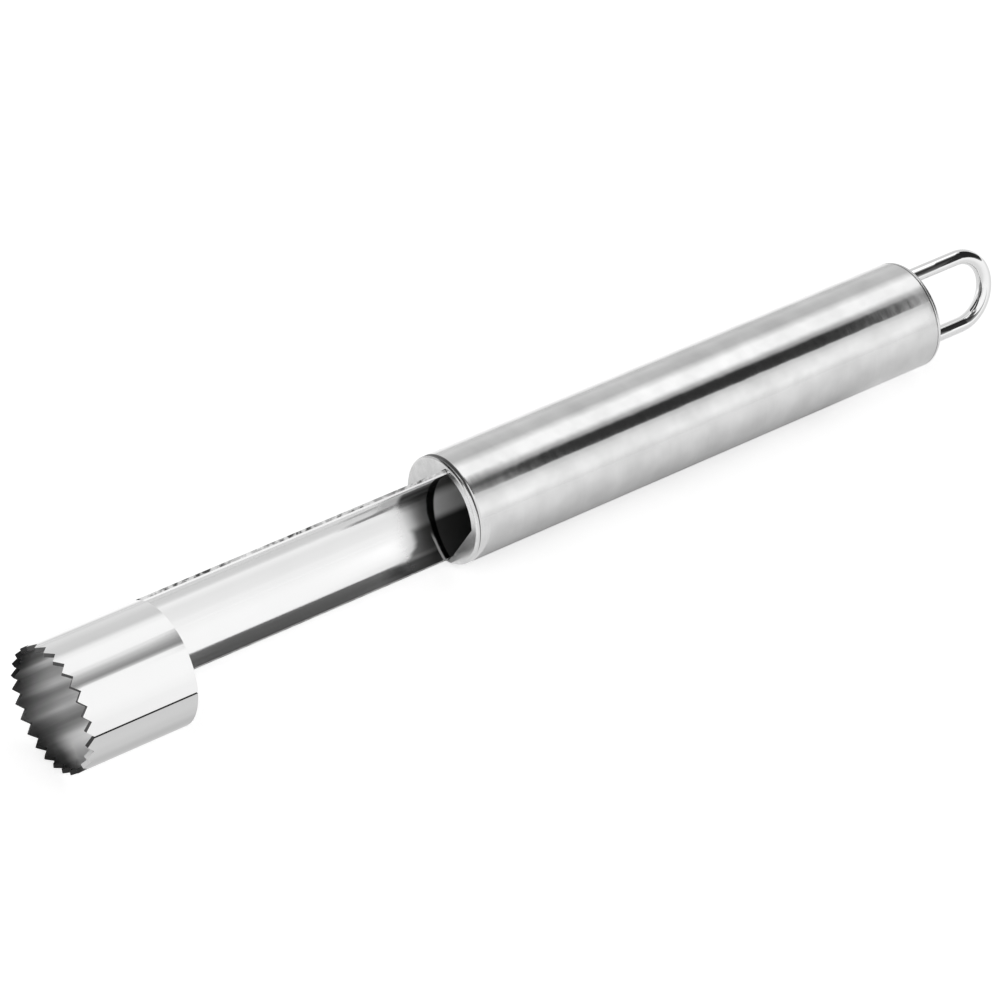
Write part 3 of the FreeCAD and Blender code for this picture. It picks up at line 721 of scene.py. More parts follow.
# %% Matt and rough parts
beside_edge = by_angle(tree, ring_axis, y, z, [(136, 0.85), (147, 0.75), (153, 0.0)])
in_trough = calc(tree, "SUBTRACT", 1.0, calc(tree, "ADD", in_ring, in_handle))
beside_edge = calc(tree, "MULTIPLY", beside_edge, in_trough)
matt_part = calc(tree, "ADD", calc(tree, "MULTIPLY", in_handle, 0.75), calc(tree, "MULTIPLY", painted_bead_highlight, 0.6))
matt_part = calc(tree, "ADD", matt_part, calc(tree, "MULTIPLY", beside_edge, 0.3))
links.new(calc(tree, "SUBTRACT", 1.0, matt_part), skin.inputs["Metallic"])
softer = calc(tree, "ADD", calc(tree, "MULTIPLY", in_ring, 0.2), calc(tree, "MULTIPLY", near_weld, 0.2))
rubbed = by_angle(tree, ring_axis, y, z, [(141, 0.0), (146, 0.4), (160, 0.4), (168, 0.0)])
rubbed = calc(tree, "MULTIPLY", rubbed, soft_step(tree, x, -36 * MM, -30 * MM, 0.0, 1.0))
softer = calc(tree, "ADD", softer, calc(tree, "MULTIPLY", rubbed, calc(tree, "SUBTRACT", 1.0, in_handle)))
even_roughness = skin.inputs["Roughness"].links[0].from_socket
links.new(calc(tree, "ADD", even_roughness, softer), skin.inputs["Roughness"])
print("matt: the handle's inside and the bead; rougher: the ring and the end of the trough")

# %% [markdown]
# The reflections bend near the trough's edges, as if the strip were rolled a little less flat
# there. A bump whose height follows the angle tips the surface over the last degrees before
# the edge.

# %% Rolled edge of the trough
lip = calc(tree, "SUBTRACT", by_angle(tree, ring_axis, y, z, [(131, 0.0), (153, 1.0)]), 1.0)
lip = calc(tree, "MULTIPLY", lip, calc(tree, "SUBTRACT", 1.0, in_ring))
rolled_lip = nodes.new("ShaderNodeBump")
rolled_lip.inputs["Strength"].default_value = 1.0
rolled_lip.inputs["Distance"].default_value = 0.7 * MM
links.new(lip, rolled_lip.inputs["Height"])
links.new(skin.inputs["Normal"].links[0].from_socket, rolled_lip.inputs["Normal"])
links.new(rolled_lip.outputs[0], skin.inputs["Normal"])
print("nodes for the inside of the blade:", len(nodes))

# %% [markdown]
# The blade is one strip of sheet. On the bench it starts as a flat blank, wide at one end and
# narrow at the other; the wide end is rolled into a ring and the narrow end into a trough.
# Here the same is done: code lays out the flat blank as a grid, and Geometry Nodes roll it
# about the ring's axis, cut the teeth from a rule and give it the thickness of the sheet.

# %% Sizes of the blade
# These are the sizes of the solid, but for the seam, which is opened to the width it is seen at.
sheet = 0.8 * MM
ring_length = 21.7 * MM
tooth_count = 26
tooth_depth = 1.3 * MM
tooth_land = 0.12 * MM
seam_gap = 0.34 * MM
shoulder = 1.5 * MM
tube_wall = 0.7 * MM
bore_reach = handle_radius - tube_wall - 0.1 * MM
ring_front = blade_low.x - tube_low.x
ring_rear = ring_front + ring_length
blade_end = blade_high.x - tube_low.x
trough_half = math.acos((offset ** 2 + ring_radius ** 2 - bore_reach ** 2) / (2 * offset * ring_radius))
print(f"trough half angle {math.degrees(trough_half):.2f} degrees")

# %% [markdown]
# The blank is a grid. Its columns stand where the teeth need them, with one at each tip and
# root, and its rows are close together only in the round corners where the strip narrows.

# %% Columns and rows of the flat blank
flank_steps = 4
corner_steps = 8
trough_steps = 24
ring_row_places = (0.8, 3.0, 8.0, 14.0, 19.0)  # mm behind the roots of the teeth


def tooth_columns():
    """Angles of the columns at the toothed edge, with each one's share of a tooth's depth.
    A root lies on the seam, so the strip's two ends meet at a root."""
    pitch = 2 * math.pi / tooth_count
    land = tooth_land / ring_radius
    steps = flank_steps
    columns = []
    for number in range(tooth_count):
        start = -math.pi + number * pitch
        tip_low, tip_high = start + (pitch - land) / 2, start + (pitch + land) / 2
        for step in range(steps):
            share = step / steps
            columns.append((start + share * (tip_low - start), 1 - share))
        columns.append((tip_low, 0.0))
        for step in range(steps):
            share = step / steps
            columns.append((tip_high + share * (start + pitch - tip_high), share))
    columns.append((math.pi, 1.0))
    gap = seam_gap / (2 * ring_radius)
    squeeze = (math.pi - gap) / math.pi
    return [(angle * squeeze, depth) for angle, depth in columns]


def blank_rows():
    """Places of the rows along the strip: ring, round inside corner, trough and tail."""
    rows = [ring_front + tooth_depth + d * MM for d in ring_row_places]
    rows.append(ring_rear)
    rows += [ring_rear + shoulder * (1 - math.cos(math.pi / 2 * k / corner_steps))
             for k in range(1, corner_steps + 1)]
    length = blade_end - ring_rear - shoulder
    rows += [ring_rear + shoulder + length * k / trough_steps for k in range(1, trough_steps + 1)]
    return rows


columns = tooth_columns()
rows = blank_rows()
print(f"blank: {len(columns)} columns, {len(rows) + 1} rows")

# %% [markdown]
# Each column keeps its number all the way back. At the ring's rear rim the columns in the
# middle are gathered into the width of the trough's root, so they run on without a break, and
# the ones outside stop there.

# %% Gather the columns into the trough
def blank_mesh():
    """The flat blank: x along the strip, y the length along the sheet's outside."""
    count = len(columns)
    root_half = trough_half + shoulder / ring_radius
    inside = [i for i, (angle, _) in enumerate(columns) if abs(angle) <= root_half]
    first, last = inside[0] - 1, inside[-1] + 1
    span = (columns[first][0], columns[last][0])
    rear = []
    for i, (angle, _) in enumerate(columns):
        if first <= i <= last:
            middle = (span[0] + span[1]) / 2
            rear.append((angle - middle) * 2 * root_half / (span[1] - span[0]))
        elif i < first:
            edge = columns[0][0]
            rear.append(edge + (angle - edge) * (-root_half - edge) / (span[0] - edge))
        else:
            edge = columns[-1][0]
            rear.append(edge + (angle - edge) * (root_half - edge) / (span[1] - edge))
    places, faces, depths = [], [], []
    for number, x in enumerate([ring_front] + rows):
        for i, (angle, depth) in enumerate(columns):
            if x <= ring_rear:
                share = (x - ring_front) / ring_length
                turn_here = angle + (rear[i] - angle) * share
            else:
                back = min(x - ring_rear, shoulder)
                fillet = shoulder - math.sqrt(max(0.0, shoulder ** 2 - (shoulder - back) ** 2))
                half = trough_half + fillet / ring_radius
                turn_here = rear[i] * half / root_half
            places.append((x, turn_here * ring_radius, 0))
            depths.append(depth if number == 0 else 0.0)
    for r in range(len(rows)):
        narrow = rows[r] > ring_rear + 1e-9
        for i in range(count - 1):
            if narrow and not (first <= i < last):
                continue
            a = r * count + i
            faces.append((a, a + count, a + count + 1, a + 1))
    mesh = bpy.data.meshes.new("blank")
    mesh.from_pydata(places, [], faces)
    cut = mesh.attributes.new("tooth_cut", "FLOAT", "POINT")
    cut.data.foreach_set("value", depths)
    work = bmesh.new()
    work.from_mesh(mesh)
    bmesh.ops.delete(work, geom=[v for v in work.verts if not v.link_faces], context="VERTS")
    work.to_mesh(mesh)
    work.free()
    return mesh


blank = blank_mesh()
print(f"blank: {len(blank.polygons)} faces")

# %% [markdown]
# Geometry Nodes make the blade and the loop. Each tree has its sizes as named inputs, so the
# same tree makes a wider ring or a longer loop. These helpers start a tree, put three numbers
# together, and run a tree on a mesh.

# %% Helpers for Geometry Nodes
def new_tree(name, inputs):
    """A geometry tree with named inputs; returns it with its input and output nodes."""
    tree = bpy.data.node_groups.new(name, "GeometryNodeTree")
    tree.interface.new_socket(name="Geometry", in_out="INPUT", socket_type="NodeSocketGeometry")
    for label, (kind, value) in inputs.items():
        socket = tree.interface.new_socket(name=label, in_out="INPUT", socket_type=kind)
        if value is not None:
            socket.default_value = value
    tree.interface.new_socket(name="Geometry", in_out="OUTPUT", socket_type="NodeSocketGeometry")
    return tree, tree.nodes.new("NodeGroupInput"), tree.nodes.new("NodeGroupOutput")


def vector(tree, x, y, z):
    """A Combine XYZ node; each value is a number or a socket."""
    node = tree.nodes.new("ShaderNodeCombineXYZ")
    for socket, value in zip(node.inputs, (x, y, z)):
        if isinstance(value, bpy.types.NodeSocket):
            tree.links.new(value, socket)
        else:
            socket.default_value = value
    return node.outputs[0]


def grow(name, mesh, tree, values):
    """Runs a tree on a mesh with values for its named inputs, and returns a plain mesh."""
    carrier = bpy.data.objects.new(name, mesh)
    bpy.context.scene.collection.objects.link(carrier)
    modifier = carrier.modifiers.new("grow", "NODES")
    modifier.node_group = tree
    for item in tree.interface.items_tree:
        if item.item_type == "SOCKET" and item.in_out == "INPUT" and item.name in values:
            modifier[item.identifier] = values[item.name]
    bpy.context.view_layer.update()
    seen = carrier.evaluated_get(bpy.context.evaluated_depsgraph_get())
    made = bpy.data.meshes.new_from_object(seen)
    bpy.data.objects.remove(carrier)
    return made


# %% [markdown]
# The first tree reads the flat place of each point: its y is the length along the sheet's
# outside, so y over the radius is the angle it rolls to. The teeth push the front row back by
# the share of a tooth's depth that the blank carries.

# %% Geometry Nodes: roll the blank
roll, come, go = new_tree("roll_the_blank", {
    "Radius": ("NodeSocketFloat", 0.01),
    "Thickness": ("NodeSocketFloat", 0.001),
    "Tooth depth": ("NodeSocketFloat", 0.001),
    "Cut end": ("NodeSocketFloat", 0.0),
    "Steel": ("NodeSocketMaterial", None),
    "Inside steel": ("NodeSocketMaterial", None),
    "Cut steel": ("NodeSocketMaterial", None),
})
place = roll.nodes.new("GeometryNodeInputPosition")
split = roll.nodes.new("ShaderNodeSeparateXYZ")
roll.links.new(place.outputs[0], split.inputs[0])
cut = roll.nodes.new("GeometryNodeInputNamedAttribute")
cut.data_type = "FLOAT"
cut.inputs["Name"].default_value = "tooth_cut"
angle = calc(roll, "DIVIDE", split.outputs["Y"], come.outputs["Radius"])
depth = calc(roll, "MULTIPLY_ADD", cut.outputs[0], come.outputs["Tooth depth"], split.outputs["X"])
across = calc(roll, "MULTIPLY", calc(roll, "SINE", angle), come.outputs["Radius"])
away = calc(roll, "MULTIPLY", calc(roll, "COSINE", angle), come.outputs["Radius"])
set_outside = roll.nodes.new("GeometryNodeSetPosition")
roll.links.new(come.outputs["Geometry"], set_outside.inputs["Geometry"])
roll.links.new(vector(roll, depth, away, across), set_outside.inputs["Position"])
print("rolling takes", len(roll.nodes), "nodes")

# %% [markdown]
# The walls come next, by an extrusion whose new points are pulled in towards the axis by the
# thickness of the sheet. So each tooth's flanks run towards the axis, as a cutter leaves them.

# %% Geometry Nodes: give the sheet its thickness
thicken = roll.nodes.new("GeometryNodeExtrudeMesh")
thicken.inputs["Offset Scale"].default_value = 0.0
thicken.inputs["Individual"].default_value = False
roll.links.new(set_outside.outputs[0], thicken.inputs["Mesh"])
place = roll.nodes.new("GeometryNodeInputPosition")
split = roll.nodes.new("ShaderNodeSeparateXYZ")
roll.links.new(place.outputs[0], split.inputs[0])
inner = calc(roll, "DIVIDE", calc(roll, "SUBTRACT", come.outputs["Radius"], come.outputs["Thickness"]),
             come.outputs["Radius"])
pulled = vector(roll, split.outputs["X"], calc(roll, "MULTIPLY", split.outputs["Y"], inner),
                calc(roll, "MULTIPLY", split.outputs["Z"], inner))
set_inside = roll.nodes.new("GeometryNodeSetPosition")
roll.links.new(thicken.outputs["Mesh"], set_inside.inputs["Geometry"])
roll.links.new(thicken.outputs["Top"], set_inside.inputs["Selection"])
roll.links.new(pulled, set_inside.inputs["Position"])
print("with the thickness:", len(roll.nodes), "nodes")
both_sides = roll.nodes.new("GeometryNodeJoinGeometry")
roll.links.new(set_outside.outputs[0], both_sides.inputs[0])
roll.links.new(set_inside.outputs[0], both_sides.inputs[0])

# %% [markdown]
# The tree ends with the steels: bright outside, its own finish inside, and on the flanks where
# the teeth were cut a steel that is black, partly with painted shade. Later materials go over
# earlier ones, each on its own selection of faces.

# %% Geometry Nodes: the steels of the blade
whole = roll.nodes.new("GeometryNodeRealizeInstances")
roll.links.new(both_sides.outputs[0], whole.inputs[0])
coat = roll.nodes.new("GeometryNodeSetMaterial")
roll.links.new(whole.outputs[0], coat.inputs[0])
roll.links.new(come.outputs["Steel"], coat.inputs["Material"])
inside_coat = roll.nodes.new("GeometryNodeSetMaterial")
roll.links.new(coat.outputs[0], inside_coat.inputs[0])
roll.links.new(thicken.outputs["Top"], inside_coat.inputs["Selection"])
roll.links.new(come.outputs["Inside steel"], inside_coat.inputs["Material"])
in_ring = calc(roll, "LESS_THAN", split.outputs["X"], come.outputs["Cut end"])
on_flank = calc(roll, "MULTIPLY", in_ring, thicken.outputs["Side"])
flank_coat = roll.nodes.new("GeometryNodeSetMaterial")
roll.links.new(inside_coat.outputs[0], flank_coat.inputs[0])
roll.links.new(on_flank, flank_coat.inputs["Selection"])
roll.links.new(come.outputs["Cut steel"], flank_coat.inputs["Material"])
roll.links.new(flank_coat.outputs[0], go.inputs[0])

flank_end = ring_rear - 0.3 * MM
rolled = grow("rolled_blank", blank, roll, {
    "Radius": ring_radius, "Thickness": sheet, "Tooth depth": tooth_depth,
    "Cut end": flank_end,
    "Steel": polished, "Inside steel": inside, "Cut steel": cut_edge_and_painted_light})
print(f"rolled: {len(rolled.vertices)} points, {len(rolled.polygons)} faces")

# %% [markdown]
# A raw mesh has doubled points and hard corners. A buffed sheet has no hard corner outside, so
# its long outer edges get a small rounding in mesh code. Faces that meet at a low angle are
# shaded as one surface; the teeth keep their sharp edges.

# %% Close a mesh and soften its edges
sharp_degrees = 35


def close_up(mesh, roundings=()):
    """Merges doubles, turns the faces outwards, rounds edges, and shades the mesh smooth but for
    its sharp edges. roundings are pairs: a test that picks edges, and the width they get."""
    work = bmesh.new()
    work.from_mesh(mesh)
    bmesh.ops.remove_doubles(work, verts=work.verts, dist=1e-7)
    bmesh.ops.recalc_face_normals(work, faces=work.faces)
    sharp = math.radians(sharp_degrees)
    rounded_off = set()
    for soften, width in roundings:
        picked = [e for e in work.edges if e.is_manifold and e.calc_face_angle(0) > sharp and soften(e)]
        made = bmesh.ops.bevel(work, geom=picked, offset=width, segments=3, profile=0.5, affect="EDGES",
                               clamp_overlap=True)
        rounded_off |= set(made["faces"])
    for face in work.faces:
        face.smooth = True
    for edge in work.edges:
        mixed = len({face in rounded_off for face in edge.link_faces}) > 1
        edge.smooth = edge.is_manifold and edge.calc_face_angle(0) < sharp and not mixed
    holes = sum(1 for edge in work.edges if not edge.is_manifold)
    volume = work.calc_volume()
    work.to_mesh(mesh)
    work.free()
    print(f"{mesh.name}: open edges {holes}, volume {volume * 1e9:.1f} mm3")
    return mesh


# %% [markdown]
# After the rounding, the narrow faces along the trough's edges get the steel with the burr.
# They are told apart by their normals, which point along the rim and not away from the axis.

# %% The blade
edge_round = 0.12 * MM
round_start = ring_front + tooth_depth + 0.5 * MM
outside_radius = ring_radius - 0.1 * MM
rim_start = ring_rear + 0.2 * MM
rim_tilt = 0.3


def outer_edge(edge):
    """The edges of the sheet's outside, behind the teeth."""
    behind = all(v.co.x > round_start for v in edge.verts)
    return behind and all(math.hypot(v.co.y, v.co.z) > outside_radius for v in edge.verts)


close_up(rolled, [(outer_edge, edge_round)])
rolled.materials.append(burr)
for face in rolled.polygons:
    centre, normal = face.center, face.normal
    along_rim = abs(centre.y * normal.z - centre.z * normal.y) / math.hypot(centre.y, centre.z)
    if centre.x > rim_start and along_rim > rim_tilt:
        face.material_index = len(rolled.materials) - 1
blade_place = tool_to_row @ Matrix.Translation((0, -offset, 0))
finish_piece("rolled_blade", rolled, "coring_blade", blade_place)

# %% [markdown]
# The handle is a plain tube whose two ends are rounded over by the grinding wheel. It is a
# turned form, so a profile is spun round the handle's axis in mesh code.

# %% Points and faces round an axis
round_steps = 256


def join_loops(work, first, second):
    """Faces between two closed loops of as many points."""
    for k in range(len(first)):
        n = (k + 1) % len(first)
        work.faces.new((first[k], first[n], second[n], second[k]))


def turned(name, profile, material):
    """Spins a list of (x, radius) round the handle's axis; the list runs round the section."""
    work = bmesh.new()
    rings = []
    for x, radius in profile:
        ring = []
        for k in range(round_steps):
            turn_here = 2 * math.pi * k / round_steps
            ring.append(work.verts.new((x, radius * math.cos(turn_here), radius * math.sin(turn_here))))
        rings.append(ring)
    for first, second in zip(rings, rings[1:] + rings[:1]):
        join_loops(work, first, second)
    mesh = bpy.data.meshes.new(name)
    work.to_mesh(mesh)
    work.free()
    mesh.materials.append(material)
    return mesh


def rounded(centre, radius, start, stop, steps=6):
    """Points of an arc in the (x, radius) plane, angles in degrees from +x."""
    points = []
    for k in range(steps + 1):
        a = math.radians(start + (stop - start) * k / steps)
        points.append((centre[0] + radius * math.cos(a), centre[1] + radius * math.sin(a)))
    return points


# %% [markdown]
# Each rounding is followed by a support ring close behind it. Without one, smooth shading would
# tilt the surface over a long way, and the reflections of the straight tube would bend.

# %% The handle
tube_length = tube_high.x - tube_low.x
rear_edge = 0.24 * MM
front_edge = 0.42 * MM
support = 0.1 * MM
stretches = 12
bore_radius = handle_radius - tube_wall
inside_limit = handle_radius - 0.9 * tube_wall
along_tube = [tube_length * k / stretches for k in range(1, stretches)]
tube_profile = (rounded((front_edge, handle_radius - front_edge), front_edge, 180, 90)
                + [(front_edge + support, handle_radius)]
                + [(x, handle_radius) for x in along_tube]
                + [(tube_length - rear_edge - support, handle_radius)]
                + rounded((tube_length - rear_edge, handle_radius - rear_edge), rear_edge, 90, 0)
                + [(tube_length, bore_radius)]
                + [(x, bore_radius) for x in reversed(along_tube)]
                + [(0.0, bore_radius)])
tube_mesh = close_up(turned("handle_shell", tube_profile, satin))
tube_mesh.materials.append(raw)
# The front end of the tube gets the steel with the painted shade of the groove.
tube_mesh.materials.append(joint_steel_and_painted_shade)
for face in tube_mesh.polygons:
    if math.hypot(face.center.y, face.center.z) < inside_limit:
        face.material_index = 1
    elif face.center.x < front_edge + support:
        face.material_index = 2
finish_piece("handle_shell", tube_mesh, "handle_tube")

# %% [markdown]
# The hanging loop is one piece of bright wire. Its middle line is two straight legs and a bow;
# Geometry Nodes draw that line from the loop's sizes and sweep a round wire along it.

# %% Sizes of the hanging loop
wire_radius = 1.4 * MM
loop_turn = math.radians(8.3)
half_loop = 6.65 * MM
loop_reach = loop_high.x - tube_high.x - wire_radius
bow_start = loop_reach - half_loop
wire_tail = tube_high.x - loop_low.x
print(f"loop: {2000 * wire_radius:.1f} mm wire, legs {1000 * bow_start:.1f} mm to the bow, "
      f"{1000 * loop_reach:.1f} mm out")

# %% [markdown]
# The line starts as a straight one with a point for each step. The tree moves its points: the
# first and the last go to the ends of the legs, and the rest go round the bow.

# %% Geometry Nodes: the line of the wire
bend, come, go = new_tree("bend_the_wire", {
    "Wire radius": ("NodeSocketFloat", 0.001),
    "Half width": ("NodeSocketFloat", 0.005),
    "Leg start": ("NodeSocketFloat", -0.005),
    "Bow start": ("NodeSocketFloat", 0.01),
    "Steel": ("NodeSocketMaterial", None),
})
bow_steps = 64
line = bend.nodes.new("GeometryNodeCurvePrimitiveLine")
resample = bend.nodes.new("GeometryNodeResampleCurve")
resample.mode = "COUNT"
resample.inputs["Count"].default_value = bow_steps + 3
bend.links.new(line.outputs[0], resample.inputs["Curve"])
number = bend.nodes.new("GeometryNodeInputIndex").outputs[0]
share = calc(bend, "DIVIDE", calc(bend, "SUBTRACT", number, 1.0), float(bow_steps))
share = calc(bend, "MINIMUM", calc(bend, "MAXIMUM", share, 0.0), 1.0)
sweep = calc(bend, "MULTIPLY_ADD", share, math.pi, -math.pi / 2)
bow_x = calc(bend, "MULTIPLY_ADD", calc(bend, "COSINE", sweep), come.outputs["Half width"],
             come.outputs["Bow start"])
bow_z = calc(bend, "MULTIPLY", calc(bend, "SINE", sweep), come.outputs["Half width"])
first = calc(bend, "COMPARE", number, 0.0, 0.1)
last = calc(bend, "COMPARE", number, float(bow_steps + 2), 0.1)
leg = calc(bend, "ADD", first, last)
stay = calc(bend, "SUBTRACT", 1.0, leg)
wire_x = calc(bend, "ADD", calc(bend, "MULTIPLY", bow_x, stay),
              calc(bend, "MULTIPLY", come.outputs["Leg start"], leg))
set_line = bend.nodes.new("GeometryNodeSetPosition")
bend.links.new(resample.outputs[0], set_line.inputs["Geometry"])
bend.links.new(vector(bend, wire_x, 0.0, bow_z), set_line.inputs["Position"])
print("line of the wire:", len(bend.nodes), "nodes")

# %% [markdown]
# A small circle is swept along the line, with its ends filled, so the wire is a closed solid.

# %% Geometry Nodes: sweep the wire
round_of_wire = 48
section = bend.nodes.new("GeometryNodeCurvePrimitiveCircle")
section.inputs["Resolution"].default_value = round_of_wire
bend.links.new(come.outputs["Wire radius"], section.inputs["Radius"])
sweep_mesh = bend.nodes.new("GeometryNodeCurveToMesh")
sweep_mesh.inputs["Fill Caps"].default_value = True
bend.links.new(set_line.outputs[0], sweep_mesh.inputs["Curve"])
bend.links.new(section.outputs[0], sweep_mesh.inputs["Profile Curve"])
whole = bend.nodes.new("GeometryNodeRealizeInstances")
bend.links.new(sweep_mesh.outputs[0], whole.inputs[0])
coat = bend.nodes.new("GeometryNodeSetMaterial")
bend.links.new(whole.outputs[0], coat.inputs[0])
bend.links.new(come.outputs["Steel"], coat.inputs["Material"])
bend.links.new(coat.outputs[0], go.inputs[0])

wire_mesh = grow("wire", bpy.data.meshes.new("wire_start"), bend, {
    "Wire radius": wire_radius, "Half width": half_loop, "Leg start": -wire_tail,
    "Bow start": bow_start, "Steel": bright})
close_up(wire_mesh)
loop_place = tool_to_row @ Matrix.Translation((tube_length, 0, 0)) @ Matrix.Rotation(-loop_turn, 4, "X")
finish_piece("wire_loop", wire_mesh, "hanging_loop", loop_place)

# %% [markdown]
# The caps are pressed discs with a lip inside the tube. Each is drawn from above first: the
# round rim, and the outline of what is cut out of it. The ground between them is filled, and
# walls join the two faces. The rounded rim is what catches the light beside the mouth.

# %% Outlines in the plane of a cap
def circle_points(centre, radius, start, stop, steps):
    """Points (y, z) of an arc; the angle is measured from +y towards +z, in degrees."""
    points = []
    for k in range(steps + 1):
        a = math.radians(start + (stop - start) * k / steps)
        points.append((centre[0] + radius * math.cos(a), centre[1] + radius * math.sin(a)))
    return points


def add_loop(work, points, x):
    """A closed loop of points and edges in the plane at x."""
    verts = [work.verts.new((x, y, z)) for y, z in points]
    return verts, [work.edges.new((a, b)) for a, b in zip(verts, verts[1:] + verts[:1])]


# %% [markdown]
# The plate is built from the back to the front: rings for its rounded rim, walls for each
# opening, and a fill between rim and openings on both faces.

# %% A pressed plate
def plate(name, thickness, rim_radius, groove, openings, material):
    """A disc from x = 0 to x = thickness with a rounded rim, a small rounding where it meets
    the tube, and openings given as closed outlines."""
    work = bmesh.new()
    profile = ([(0.0, handle_radius - groove - support)]
               + rounded((groove, handle_radius - groove), groove, 180, 90, 4)
               + rounded((thickness - rim_radius, handle_radius - rim_radius), rim_radius, 90, 0, 10)
               + [(thickness, handle_radius - rim_radius - support)])
    rings = []
    for x, radius in profile:
        rings.append(add_loop(work, circle_points((0, 0), radius, 0, 360, round_steps)[:-1], x))
    for (first, _), (second, _) in zip(rings, rings[1:]):
        join_loops(work, first, second)
    back_edges, front_edges = list(rings[0][1]), list(rings[-1][1])
    for outline in openings:
        back, edges = add_loop(work, outline, 0.0)
        back_edges += edges
        front, edges = add_loop(work, outline, thickness)
        front_edges += edges
        join_loops(work, back, front)
    for edges in (back_edges, front_edges):
        bmesh.ops.triangle_fill(work, use_beauty=True, use_dissolve=False, edges=edges)
    mesh = bpy.data.meshes.new(name)
    work.to_mesh(mesh)
    work.free()
    mesh.materials.append(material)
    return mesh


# %% [markdown]
# The lip holds a cap in the tube. On the front cap it is broken where the blade passes, so it
# is made in stretches; on the rear cap it runs all the way round.

# %% The lip of a cap
lip_depth = 3.0 * MM
lip_outer = handle_radius - tube_wall - 0.1 * MM
lip_inner = lip_outer - 0.6 * MM
print(f"lip: {1000 * lip_depth:.1f} mm deep, {2000 * lip_outer:.1f} mm across")


def add_lip(mesh, spans, material_index):
    """Stretches of the lip inside the tube, each between two angles from +y towards +z. A
    stretch of a full turn is closed."""
    work = bmesh.new()
    work.from_mesh(mesh)
    for start, stop in spans:
        steps = max(8, int(abs(stop - start) / 2))
        full_turn = stop - start == 360
        sections = []
        for a in range(steps + (0 if full_turn else 1)):
            turn_here = math.radians(start + (stop - start) * a / steps)
            c, s = math.cos(turn_here), math.sin(turn_here)
            corners = ((0, lip_outer), (-lip_depth, lip_outer), (-lip_depth, lip_inner), (0, lip_inner))
            sections.append([work.verts.new((x, radius * c, radius * s)) for x, radius in corners])
        for one, two in zip(sections, sections[1:] + (sections[:1] if full_turn else [])):
            for k in range(4):
                n = (k + 1) % 4
                work.faces.new((one[k], one[n], two[n], two[k])).material_index = material_index
        if not full_turn:
            work.faces.new(sections[0])
            work.faces.new(sections[-1])
    work.to_mesh(mesh)
    work.free()


# %% [markdown]
# The opening of the front cap is a slot and a mouth in one outline. The slot follows the
# blade with a hair of clearance. The mouth is round on its upper side and cut straight below,
# and it drains the handle after washing.

# %% The opening of the front cap
cap_thickness = 0.8 * MM
slot_gap = 0.12 * MM
mouth_radius = 8.4 * MM
mouth_flat = 72.0


def mouth_outline():
    """Slot and mouth as one closed outline of points (y, z)."""
    outer_slot, inner_slot = ring_radius + slot_gap, ring_radius - sheet - slot_gap
    end = math.degrees(trough_half + math.asin(slot_gap / ring_radius))
    centre = (-offset, 0.0)
    y = (inner_slot ** 2 - mouth_radius ** 2 - offset ** 2) / (2 * offset)
    corner = math.degrees(math.acos(y / mouth_radius))
    meet = math.degrees(math.atan2(mouth_radius * math.sin(math.radians(corner)), y + offset))
    points = circle_points(centre, outer_slot, -end, end, 90)
    points += circle_points(centre, inner_slot, end, meet, 6)
    points += circle_points((0, 0), mouth_radius, corner, 180, 60)[1:]
    points += circle_points((0, 0), mouth_radius, 180 + mouth_flat, 360 - corner, 8)
    points += circle_points(centre, inner_slot, -meet, -end, 6)[1:]
    return points


print("outline of slot and mouth:", len(mouth_outline()), "points")

# %% [markdown]
# The plate is drawn with its outer face towards +x, and the front cap looks the other way, so
# it is mirrored as it is laid down. That turns its faces inside out, and they are turned back.
# Its rounding beside the tube gets the steel with the painted shade of the groove.

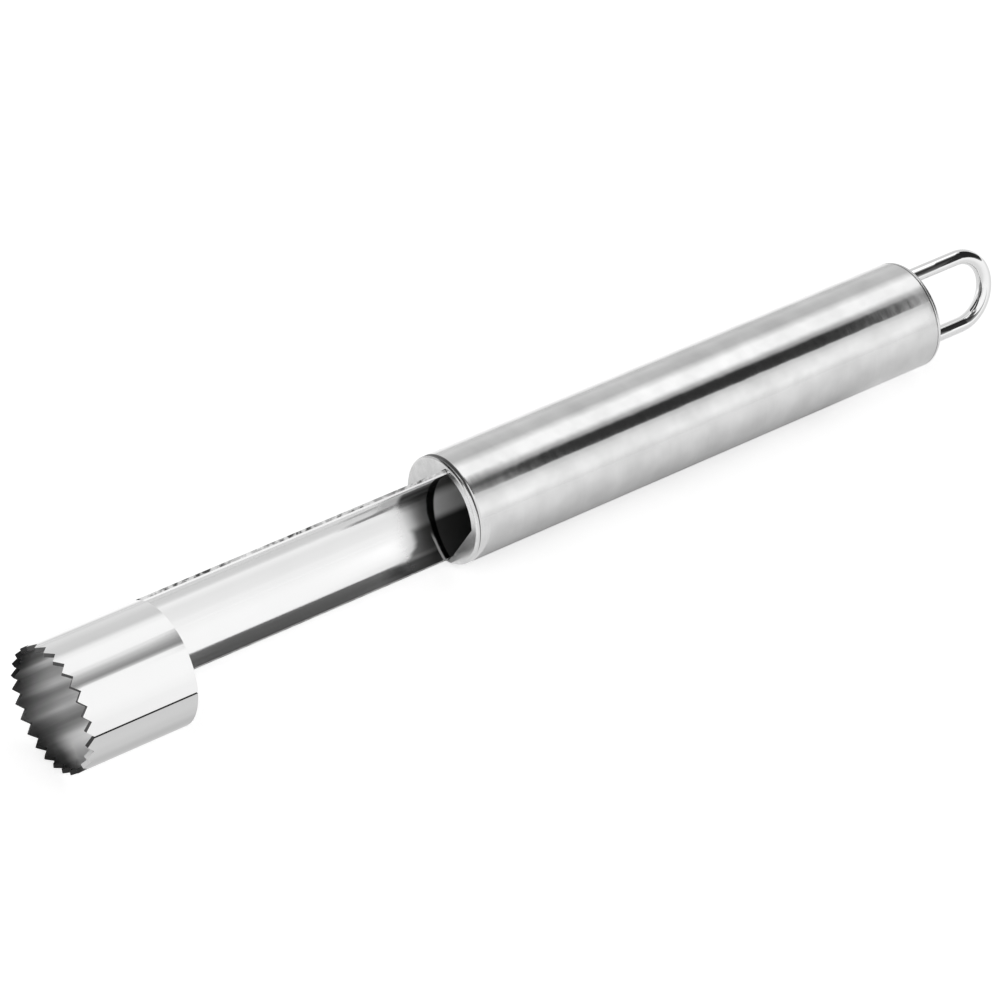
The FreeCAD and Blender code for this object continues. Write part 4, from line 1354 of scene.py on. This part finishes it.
# %% The front cap
joint_reach = 0.6 * MM
joint_band = 0.55 * MM
cap_rim = 0.5 * MM
cap_groove = 0.28 * MM
lip_spans = [(108, 252), (-95, 95)]
mouth_round = 0.08 * MM
mouth_limit = handle_radius - 0.65 * MM
cap_mesh = plate("mouth_cap", cap_thickness, cap_rim, cap_groove, [mouth_outline()], cap_steel_and_highlight)
cap_mesh.materials.append(raw)
add_lip(cap_mesh, lip_spans, 1)


def mouth_edge(edge):
    """The edges of the opening on the outer face, but not the outer rim."""
    flat = all(abs(v.co.x - cap_thickness) < 1e-7 for v in edge.verts)
    return flat and all(math.hypot(v.co.y, v.co.z) < mouth_limit for v in edge.verts)


close_up(cap_mesh, [(mouth_edge, mouth_round)])
cap_mesh.materials.append(joint_steel_and_painted_shade)
for face in cap_mesh.polygons:
    at_rim = math.hypot(face.center.y, face.center.z) > handle_radius - joint_band
    if at_rim and 0 < face.center.x < joint_reach:
        face.material_index = 2
cap_place = tool_to_row @ Matrix.Scale(-1, 4, (1, 0, 0))
cap_piece = finish_piece("mouth_cap", cap_mesh, "front_cap", cap_place)
turned_back = bmesh.new()
turned_back.from_mesh(cap_piece.data)
bmesh.ops.recalc_face_normals(turned_back, faces=turned_back.faces)
turned_back.to_mesh(cap_piece.data)
turned_back.free()

# %% [markdown]
# The rear cap is the same kind of plate, with two holes for the legs of the wire and a lip all
# the way round. Its rim is as bright as the tube; its flat face is hidden in the photograph, and
# is given a plain dull steel.

# %% The rear cap
end_thickness = 0.9 * MM
end_rim = 0.75 * MM
end_groove = 0.05 * MM
hole_radius = wire_radius + 0.05 * MM
holes = [circle_points((0, side * half_loop), hole_radius, 0, 360, round_of_wire)[:-1] for side in (-1, 1)]
end_mesh = plate("end_cap", end_thickness, end_rim, end_groove, holes, end_steel)
end_mesh.materials.append(raw)
add_lip(end_mesh, [(0, 360)], 1)
close_up(end_mesh)
# The rim takes the cap's steel, with its painted highlight on the side the trough opens to.
end_mesh.materials.append(cap_steel_and_highlight)
for face in end_mesh.polygons:
    if math.hypot(face.center.y, face.center.z) > handle_radius - end_rim and face.center.x > 0:
        face.material_index = 2
finish_piece("end_cap", end_mesh, "rear_cap", loop_place)

# %% [markdown]
# Last comes the plain view.

# %% Standard view
bpy.context.scene.view_settings.view_transform = "Standard"
